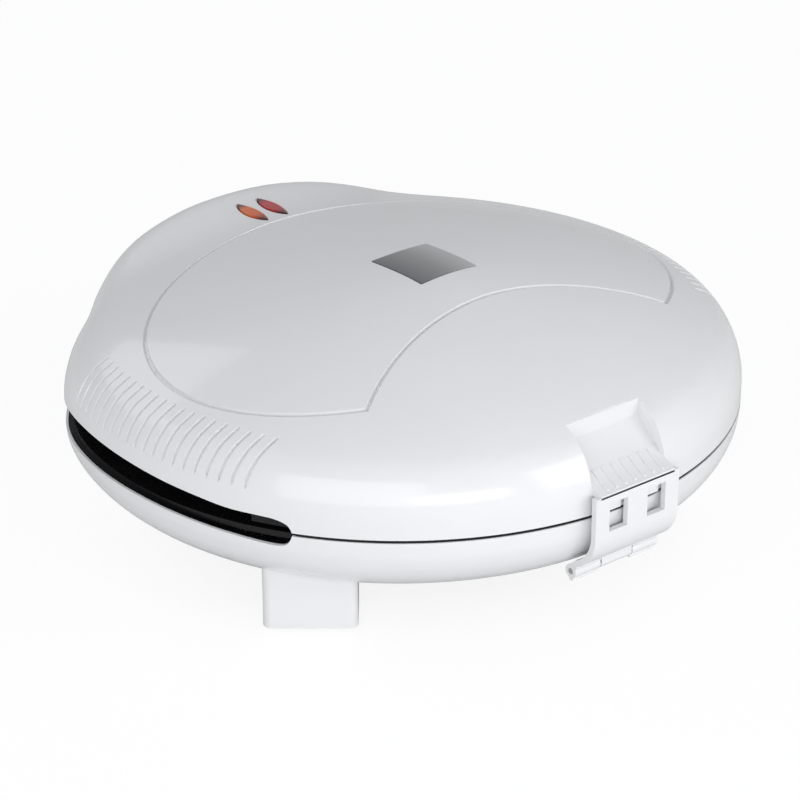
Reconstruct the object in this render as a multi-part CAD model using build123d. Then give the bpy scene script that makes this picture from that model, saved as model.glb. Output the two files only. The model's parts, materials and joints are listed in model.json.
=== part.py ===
from build123d import *
import math
import os

# Round sandwich maker with a hinged domed lid.
# Millimetres. The origin is on the counter, under the middle of the whole. +Z is up.
# The shapes are drawn about the centre of the round body and moved when they are written.
# The front, with the latch, faces -Y and the hinge is at the back, +Y.
# Sizes ending in RISE or DROP are measured from the parting plane between lid and base.

# Overall body
BODY_RADIUS = 125.0
PARTING_HEIGHT = 47.0
PARTING_GAP = 1.2
SHELL_WALL = 2.4
LINER_FIT = 0.5

# How far the plan outline sits inside the circle, by angle from the back
REAR_INSETS = ((0, 12.5), (13, 10.6), (25, 7.8), (36, 7.6), (46, 8.2), (56, 4.4), (67, 0.6))
FRONT_ANGLE_STEP = 20

# Lid dome and the flat-topped hood that carries the lights
DOME_RISE = 51.9
DOME_RIM_RISE = 16.6
DOME_APEX_Y = -23.4
DOME_FULLNESS = 1.5
DOME_ROUNDNESS = 1.47
HOOD_RISE = 38.2
HOOD_SIDE_FALL = 9.0
HOOD_HALF_WIDTH = 60.0
HOOD_MIDDLE_Y = 85.0
HOOD_BACK_SLOPE = 0.08
HOOD_BLEND = 4.2
HOOD_FADE_Y = 20.0
HOOD_FADE_LENGTH = 40.0
RIM_ROUND = 10.7
RIM_TURNS = (0, 25, 50, 90)
DOME_SCALES = (0.80, 0.67, 0.53, 0.39, 0.25)
CROWN_RADIUS = 12.0

# Embossed panel line on the lid
PANEL_HALF_WIDTH = 104.5
PANEL_HALF_DEPTH = 78.8
PANEL_Y = -8.0
PANEL_BITE_RADIUS = 124.0
PANEL_BITE_Y = -170.6
PANEL_LINE_WIDTH = 1.6
LINE_DEPTH = 0.8

# Cooling ribs above the finger mouths
RIB_COUNT = 20
RIB_PITCH = 4.75
RIB_MIDDLE_Y = -11.0
RIB_WIDTH = 1.6
RIB_OUTER_INSET = 3.4
RIB_LENGTH = 17.0
RIB_FLOOR_POINTS = 4

# Finger mouths at both sides
MOUTH_HALF_LENGTH = 64.0
MOUTH_RISE = 8.0
MOUTH_DROP = 3.8
MOUTH_DEPTH = 14.0
MOUTH_WALL = 2.0
MOUTH_POCKET_HALF = 60.0

# Base bowl, as a share of its depth and the inset from the outline
BASE_DROP = 27.0
BASE_STEPS = ((0.01, 0.0), (0.28, 0.9), (0.50, 3.6), (0.72, 8.6), (0.88, 14.5), (1.0, 25.0))

# Feet
FOOT_WIDTH = 33.0
FOOT_DEPTH = 20.0
FOOT_X = 82.0
FOOT_Y = 52.6
REAR_FOOT_X = 64.0
REAR_FOOT_Y = 62.0
FOOT_TURN = 39.0
FOOT_ROUND = 3.0
PAD_HEIGHT = 2.2
PAD_SHOW = 0.8
PAD_MARGIN = 3.5
PAD_FIT = 0.15

# Cooking plates
PLATE_RADIUS = 99.0
PLATE_Y = -11.0
PLATE_WALL = 2.6
PLATE_RIM_WIDTH = 8.0
PLATE_GAP = 1.2
POCKET_DEPTH = 10.0
POCKET_TAPER = 24.0
POCKET_CORNER = 13.0
RIDGE_WIDTH = 7.0
PLATE_FIT = 0.4
PLATE_LUG_RADIUS = 4.0
PLATE_LUG_REACH = 95.0

# Black liners round the plates
LINER_THICKNESS = 2.2
LINER_LIFT = 0.4

# Heating elements
ELEMENT_TUBE = 6.4
ELEMENT_RING = 60.0
ELEMENT_OPENING = 24.0
TERMINAL_DIAMETER = 3.0
TERMINAL_LENGTH = 12.0
ELEMENT_GAP = 0.1
CLAMP_GAP = 0.35
CLAMP_WIDTH = 9.0
CLAMP_THICKNESS = 0.8
CLAMP_COUNT = 4

# Heat shields
SHIELD_THICKNESS = 0.6
SHIELD_RADIUS = 90.0
SHIELD_HOLE = 38.0
SHIELD_LIP = 3.0
SHIELD_CLEARANCE = 1.7

# Hinge
HINGE_Y = 104.0
HINGE_BARREL = 8.0
HINGE_PIN = 4.0
HINGE_PIN_FIT = 0.05
HINGE_SIDE_GAP = 0.4
HINGE_CENTRE_HALF = 12.0
HINGE_LID_KNUCKLE = 14.0
HINGE_BASE_KNUCKLE = 9.0
HINGE_SLOT_HALF = 54.0
HINGE_SLOT_RISE = 9.6
HINGE_SLOT_DROP = 10.2

# Latch
LATCH_WIDTH = 38.0
LATCH_THICKNESS = 2.2
LATCH_STANDOFF = 1.2
LATCH_TOP_RISE = 8.6
LATCH_STRAIGHT_DROP = 6.5
LATCH_CURL_RADIUS = 13.3
LATCH_CURL_TURN = 65.0
LATCH_PIVOT_INSET = 8.6
LATCH_PIVOT_DROP = 23.6
LATCH_BARREL = 2.6
LATCH_PIN = 2.2
LATCH_PIN_FIT = 0.05
LATCH_SIDE_GAP = 0.4
LATCH_LUG_HALF = 7.0
LATCH_LIP = 0.8
LATCH_LIP_THICKNESS = 1.8
WINDOW_WIDTH = 8.3
WINDOW_CENTRE = 8.7
WINDOW_TOP = 5.4
WINDOW_BOTTOM = -5.3
TOOTH_WIDTH = 6.4
TOOTH_TOP = 4.6
TOOTH_CLEARANCE = 0.4

# Thumb ramp above the latch
RAMP_WIDTH = 33.6
RAMP_TOP_INSET = 15.5
RAMP_TOP_RISE = 22.4
RAMP_BULGE = 1.6
RAMP_GAP = 0.7
RAMP_RIB_COUNT = 7
RAMP_RIB_PITCH = 4.2
RAMP_RIB_WIDTH = 1.2
RAMP_RIB_HEIGHT = 0.5

# Badge and lights
BADGE_WIDTH = 25.4
BADGE_DEPTH = 28.4
BADGE_THICKNESS = 1.4
BADGE_SHOW = 0.5
BADGE_Y = -13.6
BADGE_FIT = 0.15
LENS_LENGTH = 19.4
LENS_WIDTH = 5.4
LENS_SPACING = 9.4
LENS_X = 0.7
LENS_Y = 84.6
LENS_SHOW = 0.7
LENS_DEPTH = 4.5
LENS_FIT = 0.15
LAMP_DIAMETER = 4.0
LAMP_LENGTH = 11.0

# Fasteners
SCREW_SHANK = 3.0
SCREW_HEAD = 5.6
SCREW_HEAD_HEIGHT = 2.0
SCREW_FIT = 0.1
BOSS_DIAMETER = 8.0
SHELL_SCREW_ANGLES = (52, 150)
SHELL_SCREW_INSET = 8.0
SHELL_SCREW_LENGTH = 10.0

# Bottom cover
COVER_RADIUS = 75.0
COVER_OPENING = 67.0
COVER_THICKNESS = 2.0
COVER_REBATE = 1.2
COVER_FIT = 0.3
COVER_SCREW_COUNT = 4
COVER_BOSS_HEIGHT = 3.0
VENT_COUNT = 9
VENT_WIDTH = 3.0
VENT_LENGTH = 60.0
VENT_PITCH = 9.0

# Wiring parts
GLAND_BORE = 6.6
GLAND_BODY = 10.0
GLAND_FLANGE = 14.0
GLAND_FLANGE_THICKNESS = 2.4
GLAND_LENGTH = 16.0
GLAND_ANGLE = 33.0
GLAND_DROP = 13.5
BLOCK_LENGTH = 24.0
BLOCK_WIDTH = 13.0
BLOCK_HEIGHT = 16.0
WIRE_DIAMETER = 2.4
FUSE_DIAMETER = 4.0
FUSE_LENGTH = 12.0
THERMOSTAT_DIAMETER = 16.0
THERMOSTAT_HEIGHT = 6.4
CONTROL_RING = 30.0
BLOCK_ANGLE = 33.0
BLOCK_INSET = 22.0
LEAD_SLEEVE = 3.6
LEAD_REACH = 17.0
LEAD_SLOPE = 37.0
LEAD_BEND = 3.0
LEAD_X = 45.0
LEAD_HALF = 5.0
WIRE_BEND = 2.0

os.makedirs("parts", exist_ok=True)


def save(name, shape):
    solid = Pos(0, -MIDDLE_Y, PARTING_HEIGHT) * shape
    solid.label = name
    export_step(solid, "parts/" + name + ".step")


def mirrored(shape):
    return shape + mirror(shape, Plane.YZ)


def disc(radius, low, high, x=0.0, y=0.0):
    return Pos(x, y, low) * Cylinder(radius, high - low, align=(Align.CENTER, Align.CENTER, Align.MIN))


def block(x0, x1, y0, y1, z0, z1):
    centre = Pos((x0 + x1) / 2, (y0 + y1) / 2, (z0 + z1) / 2)
    return centre * Box(x1 - x0, y1 - y0, z1 - z0)


def rod_x(radius, x0, x1, y, z):
    return Pos(x0, y, z) * Rot(0, 90, 0) * Cylinder(radius, x1 - x0, align=(Align.CENTER, Align.CENTER, Align.MIN))


# Plan outline of the body
def smooth(points, angle):
    # Catmull-Rom value at an angle through (angle, value) points
    for i in range(len(points) - 1):
        a0, v0 = points[i]
        a1, v1 = points[i + 1]
        if a0 <= angle <= a1:
            before = points[i - 1] if i > 0 else (-a1, v1)
            after = points[i + 2] if i + 2 < len(points) else (a1 + (a1 - a0), v1)
            t = (angle - a0) / (a1 - a0)
            m0 = (v1 - before[1]) / (a1 - before[0]) * (a1 - a0)
            m1 = (after[1] - v0) / (after[0] - a0) * (a1 - a0)
            h = t * t * (3 - 2 * t)
            return v0 * (1 - h) + v1 * h + m0 * t * (1 - t) ** 2 - m1 * t * t * (1 - t)
    return 0.0


def body_radius(angle):
    # Angle in degrees from the back, the same on both sides
    return BODY_RADIUS - smooth(REAR_INSETS + ((80, 0.0),), abs(angle))


def outline_angles():
    rear = [a for a, inset in REAR_INSETS]
    first_front = 80
    count = round((180 - first_front) / FRONT_ANGLE_STEP)
    front = [first_front + (180 - first_front) * i / count for i in range(count + 1)]
    half = rear + front
    return half + [-a for a in reversed(half[1:-1])]


def plan_point(angle, inset=0.0, scale=1.0):
    radius = (body_radius(angle) - inset) * scale
    return radius * math.sin(math.radians(angle)), radius * math.cos(math.radians(angle))


def outline_face(inset):
    points = [plan_point(a, inset) for a in outline_angles()]
    return make_face(Spline(*points, periodic=True))


def outline_slab(inset, low, high):
    return Pos(0, 0, low) * extrude(outline_face(inset), high - low)


# Lid surface as a height over the parting plane
def dome_height(x, y):
    reach = BODY_RADIUS ** 2 - DOME_APEX_Y ** 2
    side = DOME_APEX_Y * (y - DOME_APEX_Y)
    away = x * x + (y - DOME_APEX_Y) ** 2
    share = (side + math.sqrt(side * side + reach * away)) / reach
    share = min(share, 1.0)
    fall = (1 - share ** DOME_FULLNESS) ** (1 / DOME_ROUNDNESS)
    return DOME_RIM_RISE + (DOME_RISE - DOME_RIM_RISE) * fall


def hood_height(x, y):
    side_fall = HOOD_SIDE_FALL * (x / HOOD_HALF_WIDTH) ** 2
    front_fall = (max(HOOD_FADE_Y - y, 0.0) / HOOD_FADE_LENGTH) ** 2
    return HOOD_RISE - side_fall - front_fall + HOOD_BACK_SLOPE * (y - HOOD_MIDDLE_Y)


def top_height(x, y):
    dome = dome_height(x, y)
    hood = hood_height(x, y)
    return 0.5 * (dome + hood + math.hypot(dome - hood, HOOD_BLEND))


def rim_fall(inside, radius):
    if inside >= radius:
        return 0.0
    return radius - math.sqrt(radius ** 2 - (radius - inside) ** 2)


def surface_height(x, y):
    angle = math.degrees(math.atan2(x, y))
    inside = body_radius(angle) - math.hypot(x, y)
    return top_height(x, y) - rim_fall(max(inside, 0.0), RIM_ROUND)


def surface_slope(x, y):
    step = 0.5
    along_x = (top_height(x + step, y) - top_height(x - step, y)) / (2 * step)
    along_y = (top_height(x, y + step) - top_height(x, y - step)) / (2 * step)
    return along_x, along_y


def lid_section(scale, wall):
    # One closed curve on the lid surface, or on its inner face with a wall
    points = []
    round_radius = RIM_ROUND - wall
    for angle in outline_angles():
        x, y = plan_point(angle, wall, scale)
        inside = math.hypot(*plan_point(angle, wall)) * (1 - scale)
        y += BADGE_Y * (1 - scale)
        inner = 1 - wall / BODY_RADIUS
        outer_x, outer_y = x / inner, y / inner
        along_x, along_y = surface_slope(outer_x * 0.995, outer_y * 0.995)
        skin = wall * math.sqrt(1 + min(along_x ** 2 + along_y ** 2, 1.0))
        height = top_height(outer_x, outer_y) - skin - rim_fall(inside, round_radius)
        points.append((x, y, height))
    return points


def crown_section(wall):
    # The small flat at the middle, in the plane that best fits the dome there
    radius = CROWN_RADIUS
    front = top_height(0, BADGE_Y - radius)
    back = top_height(0, BADGE_Y + radius)
    side = top_height(radius, BADGE_Y)
    points = []
    for angle in outline_angles():
        x = radius * math.sin(math.radians(angle))
        y = radius * math.cos(math.radians(angle))
        height = (front + back + 2 * side) / 4 + (back - front) / (2 * radius) * y - wall
        points.append((x, BADGE_Y + y, height))
    return points


def closed_wire(plan, height):
    return Wire([Edge.make_spline([(x, y, height) for x, y in plan], periodic=True)])


def lid_form(wall, low):
    round_radius = RIM_ROUND - wall
    wall_top = lid_section(1.0, wall)
    sections = [[(x, y, low) for x, y, z in wall_top]]
    for turn in RIM_TURNS:
        inside = round_radius * (1 - math.cos(math.radians(turn)))
        sections.append(lid_section(1 - inside / BODY_RADIUS, wall))
    for scale in DOME_SCALES:
        sections.append(lid_section(scale, wall))
    sections.append(crown_section(wall))
    wires = [Wire([Edge.make_spline(points, periodic=True)]) for points in sections]
    return Solid.make_loft(wires, ruled=True)


# Base bowl
def base_form(wall):
    wires = []
    for share, inset in BASE_STEPS:
        depth = share * (BASE_DROP - wall)
        plan = [plan_point(a, inset + wall) for a in outline_angles()]
        if share == BASE_STEPS[0][0]:
            wires.append(closed_wire(plan, 3.0))
        wires.append(closed_wire(plan, -depth))
    return Solid.make_loft(wires, ruled=True)


# Finger mouth seen from the side, as a lens in the YZ plane
def mouth_cutter():
    half = MOUTH_HALF_LENGTH
    top = MOUTH_RISE
    low = MOUTH_DROP
    upper = Spline((-half, 0), (-half + 4, top * 0.78), (-half * 0.45, top), (half * 0.5, top * 0.94),
                   (half - 5, top * 0.7), (half + 2, 0))
    lower = Spline((half + 2, 0), (half * 0.5, -low * 0.55), (-half * 0.3, -low * 0.8),
                   (-half + 5, -low * 1.05), (-half, 0))
    lens = make_face(upper + lower)
    return Pos(BODY_RADIUS * 0.7, 0, 0) * extrude(Plane.YZ * lens, BODY_RADIUS * 0.4)


# Latch and hinge places worked out from the body
LATCH_INNER_Y = -(BODY_RADIUS + LATCH_STANDOFF)
LATCH_OUTER_Y = LATCH_INNER_Y - LATCH_THICKNESS
LATCH_PIVOT_Y = -(BODY_RADIUS - LATCH_PIVOT_INSET)
LATCH_PIVOT_Z = -LATCH_PIVOT_DROP
HINGE_KNUCKLE_START = HINGE_CENTRE_HALF + HINGE_SIDE_GAP
HINGE_KNUCKLE_END = HINGE_KNUCKLE_START + HINGE_LID_KNUCKLE
HINGE_OUTER_START = HINGE_KNUCKLE_END + HINGE_SIDE_GAP
HINGE_OUTER_END = HINGE_OUTER_START + HINGE_BASE_KNUCKLE
MIDDLE_Y = (LATCH_OUTER_Y + BODY_RADIUS - REAR_INSETS[0][1]) / 2
LID_FACE = PARTING_GAP / 2
LINER_FACE = LID_FACE + LINER_LIFT
PLATE_FACE = PLATE_GAP / 2
PLATE_BACK = PLATE_FACE + POCKET_DEPTH + PLATE_WALL
ELEMENT_HEIGHT = PLATE_BACK + ELEMENT_GAP + ELEMENT_TUBE / 2
SHIELD_HEIGHT = ELEMENT_HEIGHT + ELEMENT_TUBE / 2 + SHIELD_CLEARANCE


def shell_screw_points():
    points = []
    for angle in SHELL_SCREW_ANGLES:
        x, y = plan_point(angle, SHELL_SCREW_INSET)
        points += [(x, y), (-x, y)]
    return points


# Panel line and ribs: shallow cuts whose floor is the lid surface lowered by their depth
def panel_line():
    half = PANEL_LINE_WIDTH / 2
    oval = Pos(0, PANEL_Y) * Ellipse(PANEL_HALF_WIDTH + half, PANEL_HALF_DEPTH + half)
    inner_oval = Pos(0, PANEL_Y) * Ellipse(PANEL_HALF_WIDTH - half, PANEL_HALF_DEPTH - half)
    bite = Pos(0, PANEL_BITE_Y) * Circle(PANEL_BITE_RADIUS + half)
    inner_bite = Pos(0, PANEL_BITE_Y) * Circle(PANEL_BITE_RADIUS - half)
    line = (oval - inner_oval) - bite
    line += (bite - inner_bite) & oval
    return Pos(0, 0, DOME_RIM_RISE) * extrude(line, DOME_RISE)


def rib_cutter(y):
    # A straight groove along X with its floor under the lid surface
    outer = math.sqrt(BODY_RADIUS ** 2 - y * y) - RIB_OUTER_INSET
    floor = []
    for i in range(RIB_FLOOR_POINTS):
        x = outer - RIB_LENGTH * i / (RIB_FLOOR_POINTS - 1)
        floor.append((x, surface_height(x, y) - LINE_DEPTH))
    outline = Polyline(*floor, (outer - RIB_LENGTH, DOME_RISE), (outer, DOME_RISE), floor[0])
    return Pos(0, y, 0) * extrude(Plane.XZ * make_face(outline), RIB_WIDTH / 2, both=True)


def surface_lines():
    lines = [panel_line() - Pos(0, 0, -LINE_DEPTH) * lid_form(0.0, LID_FACE)]
    for i in range(RIB_COUNT):
        lines += both_sides(rib_cutter(RIB_MIDDLE_Y + (i - (RIB_COUNT - 1) / 2) * RIB_PITCH))
    return lines


def lens_outline(length, width):
    half_length = length / 2
    half_width = width / 2
    right = ThreePointArc((0, -half_length), (half_width, 0), (0, half_length))
    left = ThreePointArc((0, half_length), (-half_width, 0), (0, -half_length))
    return make_face(right + left)


def lens_places():
    return [LENS_X - LENS_SPACING / 2, LENS_X + LENS_SPACING / 2]


def badge_plane():
    slope = surface_slope(0, BADGE_Y)[1]
    tilt = math.degrees(math.atan(slope))
    return Pos(0, BADGE_Y, top_height(0, BADGE_Y)) * Rot(tilt, 0, 0)


# Thumb ramp: a wedge above the latch and the pocket it sits in
def ramp_profile():
    top = (-(BODY_RADIUS - RAMP_TOP_INSET), RAMP_TOP_RISE)
    bottom = (LATCH_OUTER_Y, LATCH_TOP_RISE + RAMP_GAP)
    run = (bottom[0] - top[0], bottom[1] - top[1])
    length = math.hypot(*run)
    middle = ((top[0] + bottom[0]) / 2 + RAMP_BULGE * run[1] / length,
              (top[1] + bottom[1]) / 2 - RAMP_BULGE * run[0] / length)
    return top, middle, bottom


def ramp_solid():
    top, middle, bottom = ramp_profile()
    inner_y = -(BODY_RADIUS - SHELL_WALL * 1.2)
    back = Polyline(bottom, (inner_y, bottom[1]), (inner_y + 2.5, bottom[1] + 4), (top[0] + 1.2, top[1] - 3.4),
                    (top[0] + 1.2, top[1] - 0.6), top)
    wedge = extrude(Plane.YZ * make_face(ThreePointArc(top, middle, bottom) + back), RAMP_WIDTH / 2, both=True)
    length = math.hypot(bottom[0] - middle[0], bottom[1] - middle[1])
    lean = math.degrees(math.atan2(middle[1] - bottom[1], middle[0] - bottom[0]))
    ribs = []
    for i in range(RAMP_RIB_COUNT):
        x = (i - (RAMP_RIB_COUNT - 1) / 2) * RAMP_RIB_PITCH
        centre = Pos(x, (bottom[0] + middle[0]) / 2, (bottom[1] + middle[1]) / 2) * Rot(lean, 0, 0)
        ribs.append(centre * Box(RAMP_RIB_WIDTH, length * 0.8, RAMP_RIB_HEIGHT * 2 + 0.8))
    return wedge + ribs


def ramp_pocket():
    top, middle, bottom = ramp_profile()
    outside = Polyline(bottom, (bottom[0] - 8, bottom[1]), (bottom[0] - 8, DOME_RISE), (top[0], DOME_RISE), top)
    face = make_face(ThreePointArc(top, middle, bottom) + outside)
    return extrude(Plane.YZ * face, RAMP_WIDTH / 2, both=True)


# Hinge knuckles
def lid_knuckle():
    x0, x1 = HINGE_KNUCKLE_START, HINGE_KNUCKLE_END
    barrel = rod_x(HINGE_BARREL, x0, x1, HINGE_Y, 0)
    web = block(x0, x1, HINGE_Y - HINGE_BARREL, HINGE_Y + HINGE_BARREL * 0.55, 0, HINGE_SLOT_RISE + 3.0)
    root = block(x0, x1, HINGE_Y - HINGE_BARREL, BODY_RADIUS, HINGE_SLOT_RISE, HINGE_SLOT_RISE + 5.0)
    root &= outline_slab(SHELL_WALL / 2, 0, HINGE_SLOT_RISE + 8.0)
    return barrel + web + root


def base_knuckle(x0, x1):
    barrel = rod_x(HINGE_BARREL, x0, x1, HINGE_Y, 0)
    web = block(x0, x1, HINGE_Y - HINGE_BARREL, BODY_RADIUS, -HINGE_SLOT_DROP - 5.0, 0)
    web &= outline_slab(BASE_STEPS[2][1] + SHELL_WALL, -BASE_DROP, 0)
    return barrel + web


def hinge_bore(x0, x1):
    return rod_x(HINGE_PIN / 2 + HINGE_PIN_FIT, x0, x1, HINGE_Y, 0)


PIN_START = HINGE_CENTRE_HALF - 9.0


def hinge_slot(low, high):
    front = HINGE_Y - HINGE_BARREL - 1.0
    return block(-HINGE_SLOT_HALF, HINGE_SLOT_HALF, front, BODY_RADIUS, low, high)


def all_round(low, high):
    return block(-BODY_RADIUS - 10, BODY_RADIUS + 10, -BODY_RADIUS - 10, BODY_RADIUS + 10, low, high)


def both_sides(shape):
    return [shape, mirror(shape, Plane.YZ)]


# Lid shell
def make_lid_shell():
    cutters = [hinge_slot(-5, HINGE_SLOT_RISE), ramp_pocket()]
    cutters += both_sides(mouth_cutter())
    cutters += surface_lines()
    pocket = Box(BADGE_WIDTH + 2 * BADGE_FIT, BADGE_DEPTH + 2 * BADGE_FIT, 2 * (BADGE_THICKNESS - BADGE_SHOW))
    cutters.append(badge_plane() * pocket)
    for x in lens_places():
        hole = extrude(lens_outline(LENS_LENGTH + 2 * LENS_FIT, LENS_WIDTH + 2 * LENS_FIT), DOME_RISE)
        cutters.append(Pos(x, LENS_Y, LINER_FACE + 20) * hole)
    shell = lid_form(0.0, LID_FACE) - lid_form(SHELL_WALL, LID_FACE - SHELL_WALL)
    shell -= cutters

    added = both_sides(lid_knuckle()) + [ramp_solid()]
    for side in (-1, 1):
        tip = LATCH_INNER_Y + TOOTH_CLEARANCE
        x = side * WINDOW_CENTRE
        added.append(block(x - TOOTH_WIDTH / 2, x + TOOTH_WIDTH / 2, tip, -(BODY_RADIUS - SHELL_WALL),
                           LID_FACE + 0.4, TOOTH_TOP))
    drilled = both_sides(hinge_bore(HINGE_KNUCKLE_START - 1, HINGE_KNUCKLE_END + 1))
    low = LINER_FACE + LINER_THICKNESS
    for x, y in shell_screw_points():
        top = surface_height(x * 1.03, y * 1.03) - SHELL_WALL * 0.6
        added.append(disc(BOSS_DIAMETER / 2, low, top, x, y))
        drilled.append(disc(SCREW_SHANK / 2 + SCREW_FIT / 2, low - 1, low + SHELL_SCREW_LENGTH, x, y))
    return shell + added - drilled


# Base shell with its moulded feet
def foot_places():
    for x, y in ((FOOT_X, -FOOT_Y), (REAR_FOOT_X, REAR_FOOT_Y)):
        for side in (-1, 1):
            yield Pos(side * x, y, 0) * Rot(0, 0, FOOT_TURN if side * y < 0 else -FOOT_TURN)


def make_feet():
    bottom = -PARTING_HEIGHT + PAD_SHOW
    foot_face = fillet(Rectangle(FOOT_WIDTH, FOOT_DEPTH).vertices(), FOOT_ROUND)
    foot = Pos(0, 0, bottom) * extrude(foot_face, -bottom - BASE_DROP * 0.45)
    pad_face = Rectangle(FOOT_WIDTH - 2 * PAD_MARGIN + 2 * PAD_FIT, FOOT_DEPTH - 2 * PAD_MARGIN + 2 * PAD_FIT)
    foot -= Pos(0, 0, bottom - 1) * extrude(pad_face, 1 + PAD_HEIGHT - PAD_SHOW)
    bowl = base_form(0.0)
    return [(place * foot - bowl).solids().sort_by(Axis.Z)[0] for place in foot_places()]


def make_base_shell():
    cover_floor = -BASE_DROP + COVER_REBATE
    cutters = [base_form(SHELL_WALL), all_round(-LID_FACE, 5), hinge_slot(-HINGE_SLOT_DROP, 5)]
    cutters += both_sides(mouth_cutter())
    cutters.append(disc(COVER_OPENING, -BASE_DROP - 1, -BASE_DROP + SHELL_WALL + 1, 0, PLATE_Y))
    cutters.append(disc(COVER_RADIUS + COVER_FIT, -BASE_DROP - 1, cover_floor, 0, PLATE_Y))
    shell = base_form(0.0) - cutters

    added = [base_knuckle(-HINGE_CENTRE_HALF, HINGE_CENTRE_HALF)]
    added += both_sides(base_knuckle(HINGE_OUTER_START, HINGE_OUTER_END))
    drilled = both_sides(hinge_bore(PIN_START - 0.3, HINGE_OUTER_END + 1))
    for x, y in cover_screw_points():
        added.append(disc(BOSS_DIAMETER / 2 - 0.6, cover_floor, cover_floor + COVER_BOSS_HEIGHT, x, y))
        top = cover_floor + COVER_BOSS_HEIGHT - 0.4
        drilled.append(disc(SCREW_SHANK / 2 + SCREW_FIT / 2, cover_floor - 1, top, x, y))
    depth = -LINER_FACE - LINER_THICKNESS
    for x, y in shell_screw_points():
        added.append(disc(BOSS_DIAMETER / 2, -BASE_DROP * 0.74, depth, x, y))
        drilled.append(disc(SCREW_SHANK / 2 + SCREW_FIT / 2, depth - SHELL_SCREW_LENGTH, depth + 1, x, y))
    # Lug for the latch pin
    lug = rod_x(LATCH_BARREL, -LATCH_LUG_HALF, LATCH_LUG_HALF, LATCH_PIVOT_Y, LATCH_PIVOT_Z)
    lug += block(-LATCH_LUG_HALF, LATCH_LUG_HALF, LATCH_PIVOT_Y - LATCH_BARREL, LATCH_PIVOT_Y + LATCH_BARREL,
                 LATCH_PIVOT_Z, LATCH_PIVOT_Z + 2 * LATCH_BARREL)
    added.append(lug)
    reach = LATCH_LUG_HALF + 1
    drilled.append(rod_x(LATCH_PIN / 2 + LATCH_PIN_FIT, -reach, reach, LATCH_PIVOT_Y, LATCH_PIVOT_Z))
    drilled.append(gland_place() * Cylinder(GLAND_BODY / 2 + 0.1, 40, rotation=(90, 0, 0)))
    return shell + added - drilled


def cover_screw_points():
    ring = (COVER_RADIUS + COVER_OPENING) / 2
    for i in range(COVER_SCREW_COUNT):
        turn = math.radians(360 * i / COVER_SCREW_COUNT)
        yield ring * math.cos(turn), PLATE_Y + ring * math.sin(turn)


def gland_place():
    x, y = plan_point(GLAND_ANGLE, SHELL_WALL / 2)
    return Pos(x, y, -GLAND_DROP) * Rot(0, 0, -GLAND_ANGLE)


# Cooking plate, drawn as the upper one; the lower one is its mirror image
def quarter_pocket():
    outer = PLATE_RADIUS - PLATE_RIM_WIDTH
    near = RIDGE_WIDTH / 2
    far = math.sqrt(outer ** 2 - near ** 2)
    diagonal = outer / math.sqrt(2)
    line = Polyline((near, far), (near, near), (far, near))
    arc = ThreePointArc((far, near), (diagonal, diagonal), (near, far))
    face = fillet(make_face(line + arc).vertices(), POCKET_CORNER)
    return face


def make_plate():
    blank = disc(PLATE_RADIUS, PLATE_FACE, PLATE_FACE + PLATE_WALL)
    inset = POCKET_DEPTH * math.tan(math.radians(POCKET_TAPER))
    grow = PLATE_WALL * 0.9
    pockets = None
    backs = None
    for i in range(4):
        turn = Rot(0, 0, 90 * i)
        wide = quarter_pocket()
        narrow = offset(wide, -inset)
        wide_back = offset(wide, grow)
        narrow_back = offset(wide, grow - inset)
        pocket = loft([Pos(0, 0, PLATE_FACE - 0.01) * wide, Pos(0, 0, PLATE_FACE + POCKET_DEPTH) * narrow])
        back = loft([Pos(0, 0, PLATE_FACE + 0.2) * wide_back, Pos(0, 0, PLATE_BACK) * narrow_back])
        pockets = turn * pocket if pockets is None else pockets + turn * pocket
        backs = turn * back if backs is None else backs + turn * back
    plate = blank + backs
    plate -= pockets
    for x, y in plate_screw_points():
        plate += disc(PLATE_LUG_RADIUS, PLATE_FACE + PLATE_WALL, PLATE_BACK, x, y)
        plate -= disc(SCREW_SHANK / 2 + SCREW_FIT / 2, PLATE_BACK - 7, PLATE_BACK + 1, x, y)
    return Pos(0, PLATE_Y, 0) * plate


def plate_screw_points():
    reach = PLATE_LUG_REACH - PLATE_LUG_RADIUS
    for i in range(4):
        turn = math.radians(90 * i)
        yield reach * math.cos(turn), reach * math.sin(turn)


# Liner ring, drawn for the lid
def make_liner(finger_pockets):
    inset = SHELL_WALL + LINER_FIT
    ring = outline_slab(inset, LINER_FACE, LINER_FACE + LINER_THICKNESS)
    hole = disc(PLATE_RADIUS + PLATE_FIT, -5, 40, 0, PLATE_Y)
    if finger_pockets:
        wall = MOUTH_WALL
        half = MOUTH_POCKET_HALF
        room = MOUTH_RISE + LINER_LIFT
        core = outline_slab(MOUTH_DEPTH, -6, room)
        pocket = block(BODY_RADIUS * 0.6, BODY_RADIUS * 1.1, -half, half, -5, room) - core
        core = outline_slab(MOUTH_DEPTH + wall, -1, room + wall + 1)
        zone = block(BODY_RADIUS * 0.6, BODY_RADIUS * 1.1, -half - wall, half + wall, LINER_FACE, room + wall) - core
        raised = [outline_slab(inset + 0.6, LINER_FACE, room + wall) & side for side in both_sides(zone)]
        ring = ring + raised - both_sides(pocket)
    ring -= hole
    slot = HINGE_BARREL + 1.2
    ring -= block(-HINGE_SLOT_HALF - 1, HINGE_SLOT_HALF + 1, HINGE_Y - slot, BODY_RADIUS, -5, 30)
    for x, y in shell_screw_points():
        ring -= disc(SCREW_SHANK / 2 + SCREW_FIT, -5, 40, x, y)
    return ring


def shell_screws():
    group = []
    for x, y in shell_screw_points():
        head = disc(SCREW_HEAD / 2, LINER_FACE - 0.3, LINER_FACE, x, y)
        shank = disc(SCREW_SHANK / 2, LINER_FACE, LINER_FACE + LINER_THICKNESS + SHELL_SCREW_LENGTH - 1.5, x, y)
        group.append(head + shank)
    return Compound(group)


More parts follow.
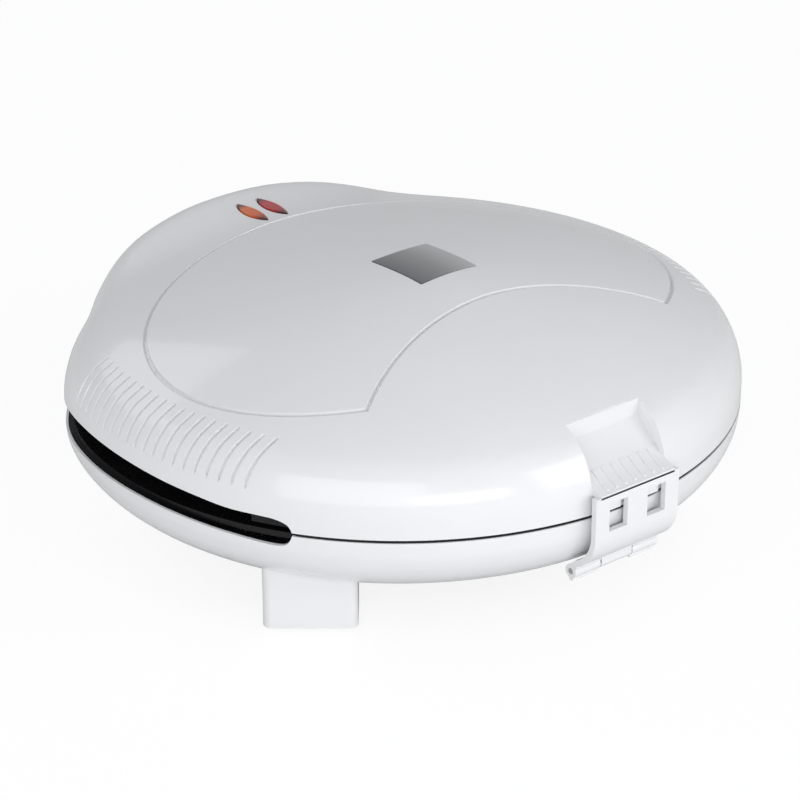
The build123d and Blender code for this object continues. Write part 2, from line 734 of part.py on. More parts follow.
# Heating element: a ring with two cold ends at the back
def make_element():
    half_open = ELEMENT_OPENING / 2
    start = math.asin(half_open / ELEMENT_RING)
    ring_y = ELEMENT_RING * math.cos(start)
    arc = ThreePointArc((half_open, ring_y), (0, -ELEMENT_RING), (-half_open, ring_y))
    path = Pos(0, PLATE_Y, ELEMENT_HEIGHT) * arc
    tube = sweep(Plane(origin=path @ 0, z_dir=path % 0) * Circle(ELEMENT_TUBE / 2), path)
    leg = ELEMENT_TUBE
    for side in (-1, 1):
        place = Pos(side * half_open, PLATE_Y + ring_y, ELEMENT_HEIGHT)
        tube += place * Sphere(ELEMENT_TUBE / 2)
        tube += place * Rot(-90, 0, 0) * Cylinder(ELEMENT_TUBE / 2, leg, align=(Align.CENTER, Align.CENTER, Align.MIN))
        tube += place * Rot(-90, 0, 0) * Cylinder(TERMINAL_DIAMETER / 2, leg + TERMINAL_LENGTH,
                                                  align=(Align.CENTER, Align.CENTER, Align.MIN))
    return tube


def clamp_turns():
    return [45 + 360 * i / CLAMP_COUNT for i in range(CLAMP_COUNT)]


def make_clamps():
    # Spring-steel straps over the element, one per pocket
    inner = ELEMENT_TUBE / 2 + CLAMP_GAP
    outer = inner + CLAMP_THICKNESS
    saddle = Cylinder(outer, CLAMP_WIDTH) - Cylinder(inner, CLAMP_WIDTH + 1)
    saddle = Rot(90, 0, 0) * saddle
    saddle &= block(-outer, outer, -CLAMP_WIDTH, CLAMP_WIDTH, 0, outer)
    low = -(ELEMENT_TUBE / 2)
    for side in (-1, 1):
        x0, x1 = sorted((side * inner, side * outer))
        saddle += block(x0, x1, -CLAMP_WIDTH / 2, CLAMP_WIDTH / 2, low, 0)
        x0, x1 = sorted((side * inner, side * (outer + 6)))
        saddle += block(x0, x1, -CLAMP_WIDTH / 2, CLAMP_WIDTH / 2, low, low + CLAMP_THICKNESS)
    group = []
    for turn in clamp_turns():
        place = Pos(0, PLATE_Y, ELEMENT_HEIGHT) * Rot(0, 0, turn) * Pos(ELEMENT_RING, 0, 0)
        group.append(place * saddle)
    return Compound(group)


def make_shield():
    pan = disc(SHIELD_RADIUS, SHIELD_HEIGHT - SHIELD_LIP, SHIELD_HEIGHT + SHIELD_THICKNESS)
    pan -= disc(SHIELD_RADIUS - SHIELD_THICKNESS, SHIELD_HEIGHT - SHIELD_LIP - 1, SHIELD_HEIGHT)
    pan -= disc(SHIELD_HOLE, SHIELD_HEIGHT - 1, SHIELD_HEIGHT + 2)
    for x, y in plate_screw_points():
        pan -= disc(PLATE_LUG_RADIUS + 1.2, SHIELD_HEIGHT - SHIELD_LIP - 1, SHIELD_HEIGHT + 2, x, y)
    gap = ELEMENT_OPENING / 2 + ELEMENT_TUBE
    pan -= block(-gap, gap, ELEMENT_RING, SHIELD_RADIUS + 2, SHIELD_HEIGHT - SHIELD_LIP - 1, SHIELD_HEIGHT - 0.6)
    return Pos(0, PLATE_Y, 0) * pan


def plate_screws():
    group = []
    for x, y in plate_screw_points():
        shank = disc(SCREW_SHANK / 2, PLATE_BACK - 6.5, PLATE_BACK + 1.6, x, PLATE_Y + y)
        head = disc(SCREW_HEAD / 2, PLATE_BACK + 1.6, PLATE_BACK + 1.6 + SCREW_HEAD_HEIGHT, x, PLATE_Y + y)
        group.append(shank + head)
    return Compound(group)


def plate_bridges():
    # Spring-steel brackets that tie each plate to the liner ring
    group = []
    for x, y in plate_screw_points():
        turn = math.degrees(math.atan2(y, x))
        strap = block(-PLATE_LUG_RADIUS, PLATE_RADIUS - PLATE_LUG_REACH + PLATE_LUG_RADIUS + 4.5, -5, 5,
                      PLATE_BACK + 0.1, PLATE_BACK + 1.5)
        strap += block(PLATE_RADIUS - PLATE_LUG_REACH + PLATE_LUG_RADIUS + 3.3,
                       PLATE_RADIUS - PLATE_LUG_REACH + PLATE_LUG_RADIUS + 4.5, -5, 5,
                       LINER_FACE + LINER_THICKNESS + 0.1, PLATE_BACK + 1.5)
        strap -= disc(SCREW_SHANK / 2 + SCREW_FIT, PLATE_BACK - 1, PLATE_BACK + 3)
        group.append(Pos(x, PLATE_Y + y, 0) * Rot(0, 0, turn) * strap)
    return group


def lowered(shape):
    return mirror(shape, Plane.XY)


# Latch
def make_latch():
    half = LATCH_WIDTH / 2
    pivot = (LATCH_PIVOT_Y, LATCH_PIVOT_Z)
    centre = (LATCH_INNER_Y + LATCH_CURL_RADIUS, -LATCH_STRAIGHT_DROP)

    def on_curl(radius, turn):
        angle = math.radians(180 + turn)
        return centre[0] + radius * math.cos(angle), centre[1] + radius * math.sin(angle)

    inner = LATCH_CURL_RADIUS
    outer = LATCH_CURL_RADIUS + LATCH_THICKNESS
    middle = LATCH_CURL_TURN / 2
    end = LATCH_CURL_TURN
    outer_arc = ThreePointArc(on_curl(outer, 0), on_curl(outer, middle), on_curl(outer, end))
    inner_arc = ThreePointArc(on_curl(inner, end), on_curl(inner, middle), on_curl(inner, 0))
    tail = Polyline(on_curl(outer, end), (pivot[0] - 1.2, pivot[1] - LATCH_BARREL + 0.3),
                    (pivot[0] + 1.0, pivot[1] + LATCH_BARREL - 0.2), on_curl(inner, end))
    top = Polyline(on_curl(inner, 0), (LATCH_INNER_Y, LATCH_TOP_RISE), (LATCH_OUTER_Y, LATCH_TOP_RISE),
                   on_curl(outer, 0))
    plate = extrude(Plane.YZ * make_face(outer_arc + tail + inner_arc + top), half, both=True)
    lip = block(-half, half, pivot[0] - LATCH_LIP_THICKNESS * 0.7, pivot[0] + LATCH_LIP_THICKNESS * 0.3,
                pivot[1] - LATCH_BARREL - LATCH_LIP, pivot[1] - 1.4)
    plate = plate + rod_x(LATCH_BARREL, -half, half, *pivot) + lip
    # Room for the lug between the two knuckles
    room = LATCH_LUG_HALF + LATCH_SIDE_GAP
    notch = rod_x(LATCH_BARREL + 0.8, -room, room, *pivot)
    notch += block(-room, room, pivot[0] - LATCH_BARREL - 0.8, pivot[0] + LATCH_BARREL + 2,
                   pivot[1] - LATCH_BARREL - LATCH_LIP - 1, pivot[1] + 12)
    cutters = [notch, rod_x(LATCH_PIN / 2 + LATCH_PIN_FIT, -half - 1, half + 1, *pivot)]
    for side in (-1, 1):
        x = side * WINDOW_CENTRE
        cutters.append(block(x - WINDOW_WIDTH / 2, x + WINDOW_WIDTH / 2, LATCH_OUTER_Y - 1, LATCH_INNER_Y + 1,
                             WINDOW_BOTTOM, WINDOW_TOP))
    return plate - cutters


# Everything below is built and written, group by group

# Lid body
save("lid_shell", make_lid_shell())
lid_liner = make_liner(True)
save("lid_liner", lid_liner)
plate = make_plate()
save("upper_plate", plate)
element = make_element()
save("upper_element", element)
clamps = make_clamps()
save("upper_element_clamps", clamps)
shield = make_shield()
save("upper_heat_shield", shield)
screws = plate_screws()
save("upper_plate_screws", screws)
save("upper_plate_brackets", Compound(plate_bridges()))
save("lid_screws", shell_screws())

badge = Box(BADGE_WIDTH, BADGE_DEPTH, BADGE_THICKNESS)
badge = fillet(badge.edges().group_by(Axis.Z)[-1], 0.3)
badge = badge_plane() * Pos(0, 0, BADGE_SHOW - BADGE_THICKNESS / 2) * badge
save("badge_plate", badge)


def make_lens(x):
    top = top_height(x, LENS_Y) + LENS_SHOW
    body = extrude(lens_outline(LENS_LENGTH, LENS_WIDTH), LENS_DEPTH)
    crown = fillet(body.edges().group_by(Axis.Z)[-1], 0.5)
    return Pos(x, LENS_Y, top - LENS_DEPTH) * crown


def make_lamp(x):
    z = top_height(x, LENS_Y) + LENS_SHOW - LENS_DEPTH - LAMP_DIAMETER / 2 - 0.4
    body = Rot(90, 0, 0) * Cylinder(LAMP_DIAMETER / 2, LAMP_LENGTH)
    return Pos(x, LENS_Y, z) * body


ready_x, power_x = lens_places()
save("ready_lens", make_lens(ready_x))
save("power_lens", make_lens(power_x))
save("indicator_lamps", Compound([make_lamp(x) for x in lens_places()]))

lamp_z = top_height(LENS_X, LENS_Y) + LENS_SHOW - LENS_DEPTH - LAMP_DIAMETER - 0.9
holder = block(LENS_X - 9.5, LENS_X + 9.5, LENS_Y - 7, LENS_Y + 7, lamp_z - 1.6, lamp_z + 1.2)
for x in lens_places():
    seat_z = top_height(x, LENS_Y) + LENS_SHOW - LENS_DEPTH - LAMP_DIAMETER / 2 - 0.4
    holder -= Pos(x, LENS_Y, seat_z) * Rot(90, 0, 0) * Cylinder(LAMP_DIAMETER / 2 + 0.1, 30)
holder_top = top_height(LENS_X + 12, LENS_Y) - SHELL_WALL - 1.0
for side in (-1, 1):
    x = LENS_X + side * 10.5
    holder += block(x - 1.2, x + 1.2, LENS_Y - 4, LENS_Y + 4, lamp_z - 1.6, holder_top)
save("lamp_holder", holder)

# Latch body
save("latch_plate", make_latch())
latch_pin = rod_x(LATCH_PIN / 2, -LATCH_WIDTH / 2, LATCH_WIDTH / 2, LATCH_PIVOT_Y, LATCH_PIVOT_Z)
save("latch_pin", latch_pin)

# Base body
save("base_shell", make_base_shell())
save("base_liner", lowered(make_liner(False)))
save("lower_plate", lowered(plate))
save("lower_element", lowered(element))
save("lower_element_clamps", lowered(clamps))
save("lower_heat_shield", lowered(shield))
save("lower_plate_screws", lowered(screws))
save("lower_plate_brackets", lowered(Compound(plate_bridges())))
save("base_screws", lowered(shell_screws()))

pads = []
pad_face = Rectangle(FOOT_WIDTH - 2 * PAD_MARGIN, FOOT_DEPTH - 2 * PAD_MARGIN)
for place in foot_places():
    pads.append(place * Pos(0, 0, -PARTING_HEIGHT) * extrude(pad_face, PAD_HEIGHT))
save("foot_pads", Compound(pads))
save("feet", Compound(make_feet()))

cover_top = -BASE_DROP + COVER_REBATE
cover = disc(COVER_RADIUS, cover_top - COVER_THICKNESS, cover_top - 0.05, 0, PLATE_Y)
for i in range(VENT_COUNT):
    x = (i - (VENT_COUNT - 1) / 2) * VENT_PITCH
    slot = SlotOverall(VENT_LENGTH, VENT_WIDTH, rotation=90)
    cover -= Pos(x, PLATE_Y, cover_top - COVER_THICKNESS - 1) * extrude(slot, COVER_THICKNESS + 2)
for x, y in cover_screw_points():
    cover -= disc(SCREW_SHANK / 2 + SCREW_FIT, cover_top - 5, cover_top + 1, x, y)
save("bottom_cover", cover)

cover_screws = []
for x, y in cover_screw_points():
    low = cover_top - COVER_THICKNESS
    head = disc(SCREW_HEAD / 2, low - 1.4, low - 0.05, x, y)
    cover_screws.append(head + disc(SCREW_SHANK / 2, low - 0.05, cover_top + COVER_BOSS_HEIGHT - 0.6, x, y))
save("cover_screws", Compound(cover_screws))

pin = rod_x(HINGE_PIN / 2, PIN_START, HINGE_OUTER_END, HINGE_Y, 0)
save("hinge_pins", Compound([pin, mirror(pin, Plane.YZ)]))

gland = Cylinder(GLAND_BODY / 2, GLAND_LENGTH, rotation=(90, 0, 0))
flange = Cylinder(GLAND_FLANGE / 2, GLAND_FLANGE_THICKNESS, rotation=(90, 0, 0))
gland = gland + Pos(0, 5.0, 0) * flange
gland -= Cylinder(GLAND_BORE / 2, GLAND_LENGTH + 4, rotation=(90, 0, 0))
save("cord_gland", gland_place() * gland)

# Controls and wiring

def under_plate(radius, turn):
    angle = math.radians(turn)
    return radius * math.cos(angle), PLATE_Y + radius * math.sin(angle)


def bent_tube(plane, points, bend, diameter):
    # A round tube along straight runs with rounded corners, drawn in one plane
    path = plane * FilletPolyline(*points, radius=bend)
    return sweep(Plane(origin=path @ 0, z_dir=path % 0) * Circle(diameter / 2), path)


def make_fuse():
    x, y = under_plate(CONTROL_RING, 225)
    z = PLATE_BACK + 0.1 + FUSE_DIAMETER / 2
    body = rod_x(FUSE_DIAMETER / 2, x - FUSE_LENGTH / 2, x + FUSE_LENGTH / 2, y, z)
    return body + rod_x(0.5, x - FUSE_LENGTH / 2 - 6, x + FUSE_LENGTH / 2 + 6, y, z)


save("upper_thermal_fuse", make_fuse())
save("lower_thermal_fuse", lowered(make_fuse()))

x, y = under_plate(CONTROL_RING, 45)
thermostat = disc(THERMOSTAT_DIAMETER / 2, PLATE_BACK + 0.1, PLATE_BACK + 0.1 + THERMOSTAT_HEIGHT * 0.6, x, y)
thermostat += disc(THERMOSTAT_DIAMETER / 2 - 2, PLATE_BACK, PLATE_BACK + 0.1 + THERMOSTAT_HEIGHT, x, y)
for side in (-1, 1):
    x0, x1 = sorted((x + side * 4, x + side * (THERMOSTAT_DIAMETER / 2 + 5)))
    thermostat += block(x0, x1, y - 2, y + 2, PLATE_BACK + THERMOSTAT_HEIGHT - 0.8, PLATE_BACK + THERMOSTAT_HEIGHT)
save("thermostat", lowered(thermostat))

block_x, block_y = plan_point(BLOCK_ANGLE, BLOCK_INSET)
block_top = -LINER_FACE - LINER_THICKNESS
block_place = Pos(block_x, block_y, block_top - BLOCK_HEIGHT / 2) * Rot(0, 0, -BLOCK_ANGLE)
terminal_block = block_place * Box(BLOCK_LENGTH, BLOCK_WIDTH, BLOCK_HEIGHT)
for i in range(3):
    across = (i - 1) * BLOCK_LENGTH / 3.2
    terminal_block -= block_place * Pos(across, 0, 0) * Cylinder(1.8, BLOCK_WIDTH + 2, rotation=(90, 0, 0))
    terminal_block -= block_place * Pos(across, 0, -BLOCK_HEIGHT / 2) * Cylinder(1.6, 4)
save("terminal_block", terminal_block)

# Two leads from the element's cold ends to the block's inner side
element_end = PLATE_Y + math.sqrt(ELEMENT_RING ** 2 - (ELEMENT_OPENING / 2) ** 2) + ELEMENT_TUBE + TERMINAL_LENGTH
turn = math.radians(BLOCK_ANGLE)
side_x = block_x - BLOCK_WIDTH / 2 * math.sin(turn)
side_y = block_y - BLOCK_WIDTH / 2 * math.cos(turn)
leads = []
for side, back in ((-1, 3 * WIRE_DIAMETER), (1, 1.3 * WIRE_DIAMETER)):
    lead_x = side * ELEMENT_OPENING / 2
    lead_y = element_end + back
    reach_x = side_x - (lead_y - side_y) / math.tan(turn) - WIRE_DIAMETER / 2 / math.tan(turn) - 0.3
    points = ((lead_x, element_end + 0.4), (lead_x, lead_y), (reach_x, lead_y))
    leads.append(bent_tube(Plane.XY.offset(-ELEMENT_HEIGHT), points, WIRE_BEND, WIRE_DIAMETER))
save("base_leads", Compound(leads))

# Lead to the lid: it lies along the hinge axis, where it twists, so each half stays with its own body
def hinge_lead(side):
    slope = math.radians(LEAD_SLOPE)
    inward = Vector(0, -math.cos(slope), -side * math.sin(slope))
    plane = Plane(origin=(0, HINGE_Y, 0), x_dir=(1, 0, 0), z_dir=Vector(1, 0, 0).cross(inward))
    bend_x = LEAD_X + side * LEAD_HALF
    points = ((LEAD_X + side * 0.1, 0), (bend_x, 0), (bend_x, LEAD_REACH))
    return bent_tube(plane, points, LEAD_BEND, LEAD_SLEEVE)


save("base_hinge_lead", hinge_lead(1))
save("lid_hinge_lead", hinge_lead(-1))
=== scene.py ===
import json
import math
import bpy
import numpy as np
from mathutils import Matrix, Vector


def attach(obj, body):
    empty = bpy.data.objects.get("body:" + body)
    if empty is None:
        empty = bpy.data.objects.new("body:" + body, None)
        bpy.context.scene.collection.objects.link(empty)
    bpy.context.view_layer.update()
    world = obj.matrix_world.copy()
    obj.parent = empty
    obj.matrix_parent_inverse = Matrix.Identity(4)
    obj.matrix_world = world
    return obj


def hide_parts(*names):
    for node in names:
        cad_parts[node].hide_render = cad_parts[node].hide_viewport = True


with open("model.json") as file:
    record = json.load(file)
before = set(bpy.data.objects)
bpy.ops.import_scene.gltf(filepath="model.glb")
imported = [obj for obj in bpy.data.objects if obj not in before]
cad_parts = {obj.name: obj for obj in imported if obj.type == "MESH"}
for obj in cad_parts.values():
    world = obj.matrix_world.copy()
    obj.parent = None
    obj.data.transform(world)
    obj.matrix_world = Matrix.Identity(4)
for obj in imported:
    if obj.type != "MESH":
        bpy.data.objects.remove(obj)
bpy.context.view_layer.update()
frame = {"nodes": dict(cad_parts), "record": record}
nodes = frame["nodes"]
scene = bpy.context.scene

# Places shared with the part, in metres
MIDDLE_Y = -0.00795
PARTING_Z = 0.047
BODY_CENTRE = (0, -MIDDLE_Y, PARTING_Z)

# Camera at the photograph's angle
CAMERA_AZIMUTH = math.radians(-38.94)
CAMERA_ELEVATION = math.radians(26.32)
CAMERA_DISTANCE = 1.14108
CAMERA_RIGHT = 0.00009
CAMERA_UP = -0.00808
LENS_MM = 139.5
SENSOR_MM = 36


def make_camera():
    ca, sa = math.cos(CAMERA_AZIMUTH), math.sin(CAMERA_AZIMUTH)
    ce, se = math.cos(CAMERA_ELEVATION), math.sin(CAMERA_ELEVATION)
    back = Vector((sa * ce, -ca * ce, se))
    right = Vector((ca, sa, 0))
    up = back.cross(right)
    data = bpy.data.cameras.new("camera")
    data.lens = LENS_MM
    data.sensor_width = SENSOR_MM
    data.sensor_fit = "HORIZONTAL"
    data.clip_start = 0.05
    data.clip_end = 20
    camera = bpy.data.objects.new("camera", data)
    scene.collection.objects.link(camera)
    turn = Matrix((right, up, back)).transposed().to_4x4()
    position = Vector(BODY_CENTRE) + right * CAMERA_RIGHT + up * CAMERA_UP + back * CAMERA_DISTANCE
    camera.matrix_world = Matrix.Translation(position) @ turn
    scene.camera = camera


make_camera()


# Materials
NOISE_LOW = 0.3
NOISE_HIGH = 0.7
ROUGHNESS_SPREAD = 0.15
GRAIN_DEPTH = 0.0002
COAT_ROUGHNESS = 0.06


def new_material(name):
    material = bpy.data.materials.new(name)
    material.use_nodes = True
    tree = material.node_tree
    tree.nodes.clear()
    output = tree.nodes.new("ShaderNodeOutputMaterial")
    shader = tree.nodes.new("ShaderNodeBsdfPrincipled")
    tree.links.new(shader.outputs["BSDF"], output.inputs["Surface"])
    return material, tree, shader


def noise(tree, scale, detail=2.0, stretch=(1, 1, 1)):
    where = tree.nodes.new("ShaderNodeTexCoord")
    mapping = tree.nodes.new("ShaderNodeMapping")
    mapping.inputs["Scale"].default_value = stretch
    texture = tree.nodes.new("ShaderNodeTexNoise")
    texture.inputs["Scale"].default_value = scale
    texture.inputs["Detail"].default_value = detail
    tree.links.new(where.outputs["Object"], mapping.inputs["Vector"])
    tree.links.new(mapping.outputs["Vector"], texture.inputs["Vector"])
    return texture


def spread(tree, texture, low, high, socket):
    fit = tree.nodes.new("ShaderNodeMapRange")
    fit.inputs["From Min"].default_value = NOISE_LOW
    fit.inputs["From Max"].default_value = NOISE_HIGH
    fit.inputs["To Min"].default_value = low
    fit.inputs["To Max"].default_value = high
    tree.links.new(texture.outputs["Fac"], fit.inputs["Value"])
    tree.links.new(fit.outputs["Result"], socket)


def tint(tree, texture, colour_a, colour_b, socket):
    ramp = tree.nodes.new("ShaderNodeValToRGB")
    ramp.color_ramp.elements[0].position = NOISE_LOW
    ramp.color_ramp.elements[0].color = (*colour_a, 1)
    ramp.color_ramp.elements[1].position = NOISE_HIGH
    ramp.color_ramp.elements[1].color = (*colour_b, 1)
    tree.links.new(texture.outputs["Fac"], ramp.inputs["Fac"])
    tree.links.new(ramp.outputs["Color"], socket)


def bumps(tree, texture, shader, strength):
    bump = tree.nodes.new("ShaderNodeBump")
    bump.inputs["Strength"].default_value = strength
    bump.inputs["Distance"].default_value = GRAIN_DEPTH
    tree.links.new(texture.outputs["Fac"], bump.inputs["Height"])
    tree.links.new(bump.outputs["Normal"], shader.inputs["Normal"])


def along(tree, axis, stops, socket):
    # A colour that runs along one axis of the piece
    where = tree.nodes.new("ShaderNodeTexCoord")
    split = tree.nodes.new("ShaderNodeSeparateXYZ")
    ramp = tree.nodes.new("ShaderNodeValToRGB")
    ramp.color_ramp.elements[0].position = stops[0][0]
    ramp.color_ramp.elements[0].color = (*stops[0][1], 1)
    ramp.color_ramp.elements[1].position = stops[-1][0]
    ramp.color_ramp.elements[1].color = (*stops[-1][1], 1)
    for position, colour in stops[1:-1]:
        ramp.color_ramp.elements.new(position).color = (*colour, 1)
    tree.links.new(where.outputs["Generated"], split.inputs["Vector"])
    tree.links.new(split.outputs[axis], ramp.inputs["Fac"])
    tree.links.new(ramp.outputs["Color"], socket)


def varied(colour, share):
    return tuple(min(c * (1 + share), 1.0) for c in colour)


def surface(name, rough, colour=None, stops=(), axis="Y", variation=0.03, scale=30.0, metal=0.0,
            specular=0.5, coat=0.0, transmission=0.0, grain=0.05, grain_scale=900.0, stretch=(1, 1, 1)):
    # Either a colour with a cloudy variation, or stops of colour along an axis, under a fine grain
    material, tree, shader = new_material(name)
    base_colour = shader.inputs["Base Color"]
    if stops:
        along(tree, axis, stops, base_colour)
    else:
        tint(tree, noise(tree, scale), varied(colour, -variation), varied(colour, variation), base_colour)
    fine = noise(tree, grain_scale, 3.0, stretch)
    smoothest, roughest = rough * (1 - ROUGHNESS_SPREAD), rough * (1 + ROUGHNESS_SPREAD)
    spread(tree, fine, smoothest, roughest, shader.inputs["Roughness"])
    if grain > 0:
        bumps(tree, fine, shader, grain)
    shader.inputs["Metallic"].default_value = metal
    shader.inputs["Specular IOR Level"].default_value = specular
    shader.inputs["Coat Weight"].default_value = coat
    shader.inputs["Coat Roughness"].default_value = COAT_ROUGHNESS
    shader.inputs["Transmission Weight"].default_value = transmission
    return material


def lens_shade_stops(tip, low, high):
    # Painted shade and light on a lens's own colour: dark at both tips and bright in its middle
    return ((0.12, tip), (0.3, low), (0.7, high), (0.88, tip))


# Badge: the plate's own grey with a painted reflection, running from dark to light across X
BADGE_PAINTED_REFLECTION_STOPS = ((0.0, (0.18, 0.18, 0.19)), (0.5, (0.33, 0.33, 0.34)), (1.0, (0.56, 0.56, 0.57)))
# Amber and red lenses, with painted shade at both tips and a painted lighter middle
AMBER_SHADED_STOPS = lens_shade_stops((0.10, 0.012, 0.004), (0.62, 0.10, 0.01), (0.72, 0.14, 0.015))
RED_SHADED_STOPS = lens_shade_stops((0.07, 0.004, 0.005), (0.42, 0.012, 0.015), (0.5, 0.02, 0.02))

LOOKS = {
    "body_plastic": dict(colour=(0.83, 0.835, 0.848), rough=0.2, coat=0.35, variation=0.008, grain=0.008),
    "black_plastic": dict(colour=(0.006, 0.006, 0.007), rough=0.26, specular=0.3, variation=0.2, grain=0.02),
    "nonstick_plate": dict(colour=(0.03, 0.03, 0.032), rough=0.34, metal=0.2, variation=0.25,
                           grain=0.25, grain_scale=1400),
    "element_steel": dict(colour=(0.30, 0.28, 0.26), rough=0.45, metal=1.0, variation=0.25, grain=0.2),
    "spring_steel": dict(colour=(0.52, 0.52, 0.5), rough=0.35, metal=1.0, variation=0.08, grain=0.1),
    "shield_sheet": dict(colour=(0.72, 0.72, 0.72), rough=0.3, metal=1.0, variation=0.05, grain=0.1,
                         stretch=(1, 12, 1)),
    "screw_steel": dict(colour=(0.6, 0.6, 0.58), rough=0.3, metal=1.0, variation=0.08, grain=0.08),
    # The badge's colour carries a painted reflection from dark to light across the plate
    "badge_metal": dict(stops=BADGE_PAINTED_REFLECTION_STOPS, axis="X", rough=0.32, metal=0.3, grain=0.1, stretch=(1, 20, 1)),
    "amber_lens": dict(stops=AMBER_SHADED_STOPS, rough=0.1, coat=0.4, grain=0.02),
    "red_lens": dict(stops=RED_SHADED_STOPS, rough=0.1, coat=0.4, grain=0.02),
    "lamp_glass": dict(colour=(0.9, 0.9, 0.88), rough=0.05, transmission=0.7, variation=0.02, grain=0.0),
    "holder_plastic": dict(colour=(0.7, 0.68, 0.62), rough=0.5, variation=0.04, grain=0.15),
    "pin_steel": dict(colour=(0.6, 0.6, 0.61), rough=0.22, metal=1.0, variation=0.05, grain=0.05),
    "pad_rubber": dict(colour=(0.02, 0.02, 0.02), rough=0.75, variation=0.2, grain=0.4, grain_scale=1600),
    "cover_plastic": dict(colour=(0.014, 0.014, 0.015), rough=0.5, variation=0.2,
                          grain=0.5, grain_scale=1500),
    "gland_rubber": dict(colour=(0.02, 0.02, 0.02), rough=0.6, variation=0.2, grain=0.3),
    "fuse_metal": dict(colour=(0.6, 0.57, 0.5), rough=0.35, metal=1.0, variation=0.08, grain=0.1),
    "block_plastic": dict(colour=(0.75, 0.73, 0.66), rough=0.45, variation=0.04, grain=0.2),
    "wire_sleeve": dict(colour=(0.72, 0.69, 0.6), rough=0.8, variation=0.1, scale=500,
                        grain=0.6, grain_scale=2500),
}
SURFACES = {name: surface(name, **look) for name, look in LOOKS.items()}

for part in frame["record"]["subparts"]:
    node = nodes[part["node"]]
    node.data.materials.clear()
    node.data.materials.append(SURFACES[part["material_slot"]])


# Outline and walls: from here on in millimetres, about the body's centre and parting plane
BODY_RADIUS = 125.0
REAR_INSETS = ((0, 12.5), (13, 10.6), (25, 7.8), (36, 7.6), (46, 8.2), (56, 4.4), (67, 0.6), (80, 0.0))
LID_FACE = 0.6
WALL = 2.4
LIP_WALL = 0.9
LIP_START = 4.0
LIP_RUN = 6.0
BASE_DROP = 27.0
BASE_STEPS = ((0.0, 0.0), (0.12, 0.2), (0.28, 0.9), (0.50, 3.6), (0.72, 8.6), (0.90, 15.5), (1.0, 25.0))
PLATE_Y = -11.0
COVER_EDGE = 75.3

# Dome, hood and rim of the lid
DOME_RISE = 51.9
DOME_RIM_RISE = 16.6
DOME_APEX_Y = -23.4
DOME_FULLNESS = 1.5
DOME_ROUNDNESS = 1.47
HOOD_RISE = 38.2
HOOD_SIDE_FALL = 9.0
HOOD_HALF_WIDTH = 60.0
HOOD_MIDDLE_Y = 85.0
HOOD_BACK_SLOPE = 0.08
HOOD_BLEND = 4.2
HOOD_FADE_Y = 20.0
HOOD_FADE_LENGTH = 40.0
RIM_ROUND = 10.7

# Badge and lights on the lid
BADGE_Y = -13.6
BADGE_HALF = (12.7, 14.2)
BADGE_PLATE = (25.0, 28.0)
BADGE_STEPS = 13
BADGE_PROUD = 0.15
BADGE_SUNK = 0.6
LENS_LENGTH = 19.4
LENS_WIDTH = 5.4
LENS_Y = 84.6
LENS_XS = (-4.0, 5.4)
LENS_MOAT = 0.35

# Panel line and ribs on the lid
PANEL_HALF_WIDTH = 104.5
PANEL_HALF_DEPTH = 78.8
PANEL_Y = -8.0
PANEL_BITE_RADIUS = 124.0
PANEL_BITE_Y = -170.6
RIB_COUNT = 20
RIB_PITCH = 4.68
RIB_MIDDLE_Y = -10.0
RIB_OUTER_INSET = 2.2
RIB_LENGTH = 13.3
RIB_HALF_WIDTH = 0.55
LINE_HALF_WIDTH = 0.65
LINE_DEPTH = 1.2
LINE_EDGE = 0.4

# Finger mouths, with their lips from front to rear
MOUTH_UPPER = ((-70.8, -0.5), (-70, 2.2), (-68, 4.0), (-64, 5.1), (-50, 5.5), (-38, 6.7), (-24, 7.7),
               (-8, 8.6), (12, 9.0), (32, 8.5), (50, 7.0), (62, 4.0), (66, -0.5))
MOUTH_LOWER = ((-70.8, 0.5), (-70, -2.4), (-68, -4.6), (-64, -5.2), (-50, -4.3), (-30, -3.3), (-8, -2.7),
               (20, -3.0), (45, -3.4), (60, -2.4), (66, 0.5))
MOUTH_SIDE_X = 85.0
MOUTH_SIDE_SINE = 0.7
MOUTH_END_TURNS = ((117, 128), (232, 243))
MOUTH_END_INSET = 3.0
MOUTH_END_WIDTH = 1.2
MOUTH_END_LOW = 0.9
MOUTH_END_HIGH = 7.5

# Black edge in the joint
FLANGE_INSET = 0.5
FLANGE_WIDTH = 2.4
FLANGE_TOP = 0.35
FLANGE_LOW = -0.7
FLANGE_MOUTH_LOW = -7.5
FLANGE_FIRST_ANGLE = 34
FLANGE_LIP_GAP = 0.1
FLANGE_DIPS_UNDER = 0.3

# Hinge slot and knuckles
REAR_Y = 90.0
HINGE_Y = 104.0
HINGE_BARREL = 8.0
HINGE_SLOT_HALF = 54.0
HINGE_SLOT_RISE = 9.6
HINGE_SLOT_DROP = 10.2
LID_KNUCKLE = (12.4, 26.4)
CENTRE_KNUCKLE = 12.0
OUTER_KNUCKLE = (26.8, 35.8)
LID_WEB_SHARE = 0.55
LID_WEB_OVER = 3.0
BASE_WEB_SHARE = 0.25
BASE_WEB_UNDER = 4.0

# Thumb ramp with its ribs and cheeks
FRONT_Y = -100.0
FRONT_HALF_WIDTH = 25.0
RAMP_HALF_WIDTH = 16.8
RAMP_TOP = (-109.5, 22.4)
RAMP_BOTTOM = (-128.4, 9.3)
RAMP_BULGE = 1.6
RAMP_STEPS = 15
RAMP_NOSE = 1.4
RAMP_BEND_Y = -120.0
RAMP_BACK = 1.2
RAMP_BACK_DEPTH = 3.4
RAMP_RIB_COUNT = 7
RAMP_RIB_PITCH = 4.2
RAMP_RIB_WIDTH = 1.2
RAMP_RIB_HEIGHT = 0.5
RAMP_RIB_SUNK = 0.3
RAMP_RIB_SPAN = (0.52, 0.93)
RAMP_RIB_STEPS = 7
CHEEK_WALL = 1.5
CHEEK_BELOW = 0.35
CHEEK_END_Y = -123.2
CHEEK_LEAST = -0.5
CHEEK_FOOT = 1.2
BACK_WALL_FOOT = 1.5
BACK_WALL_MIDDLE = 0.6

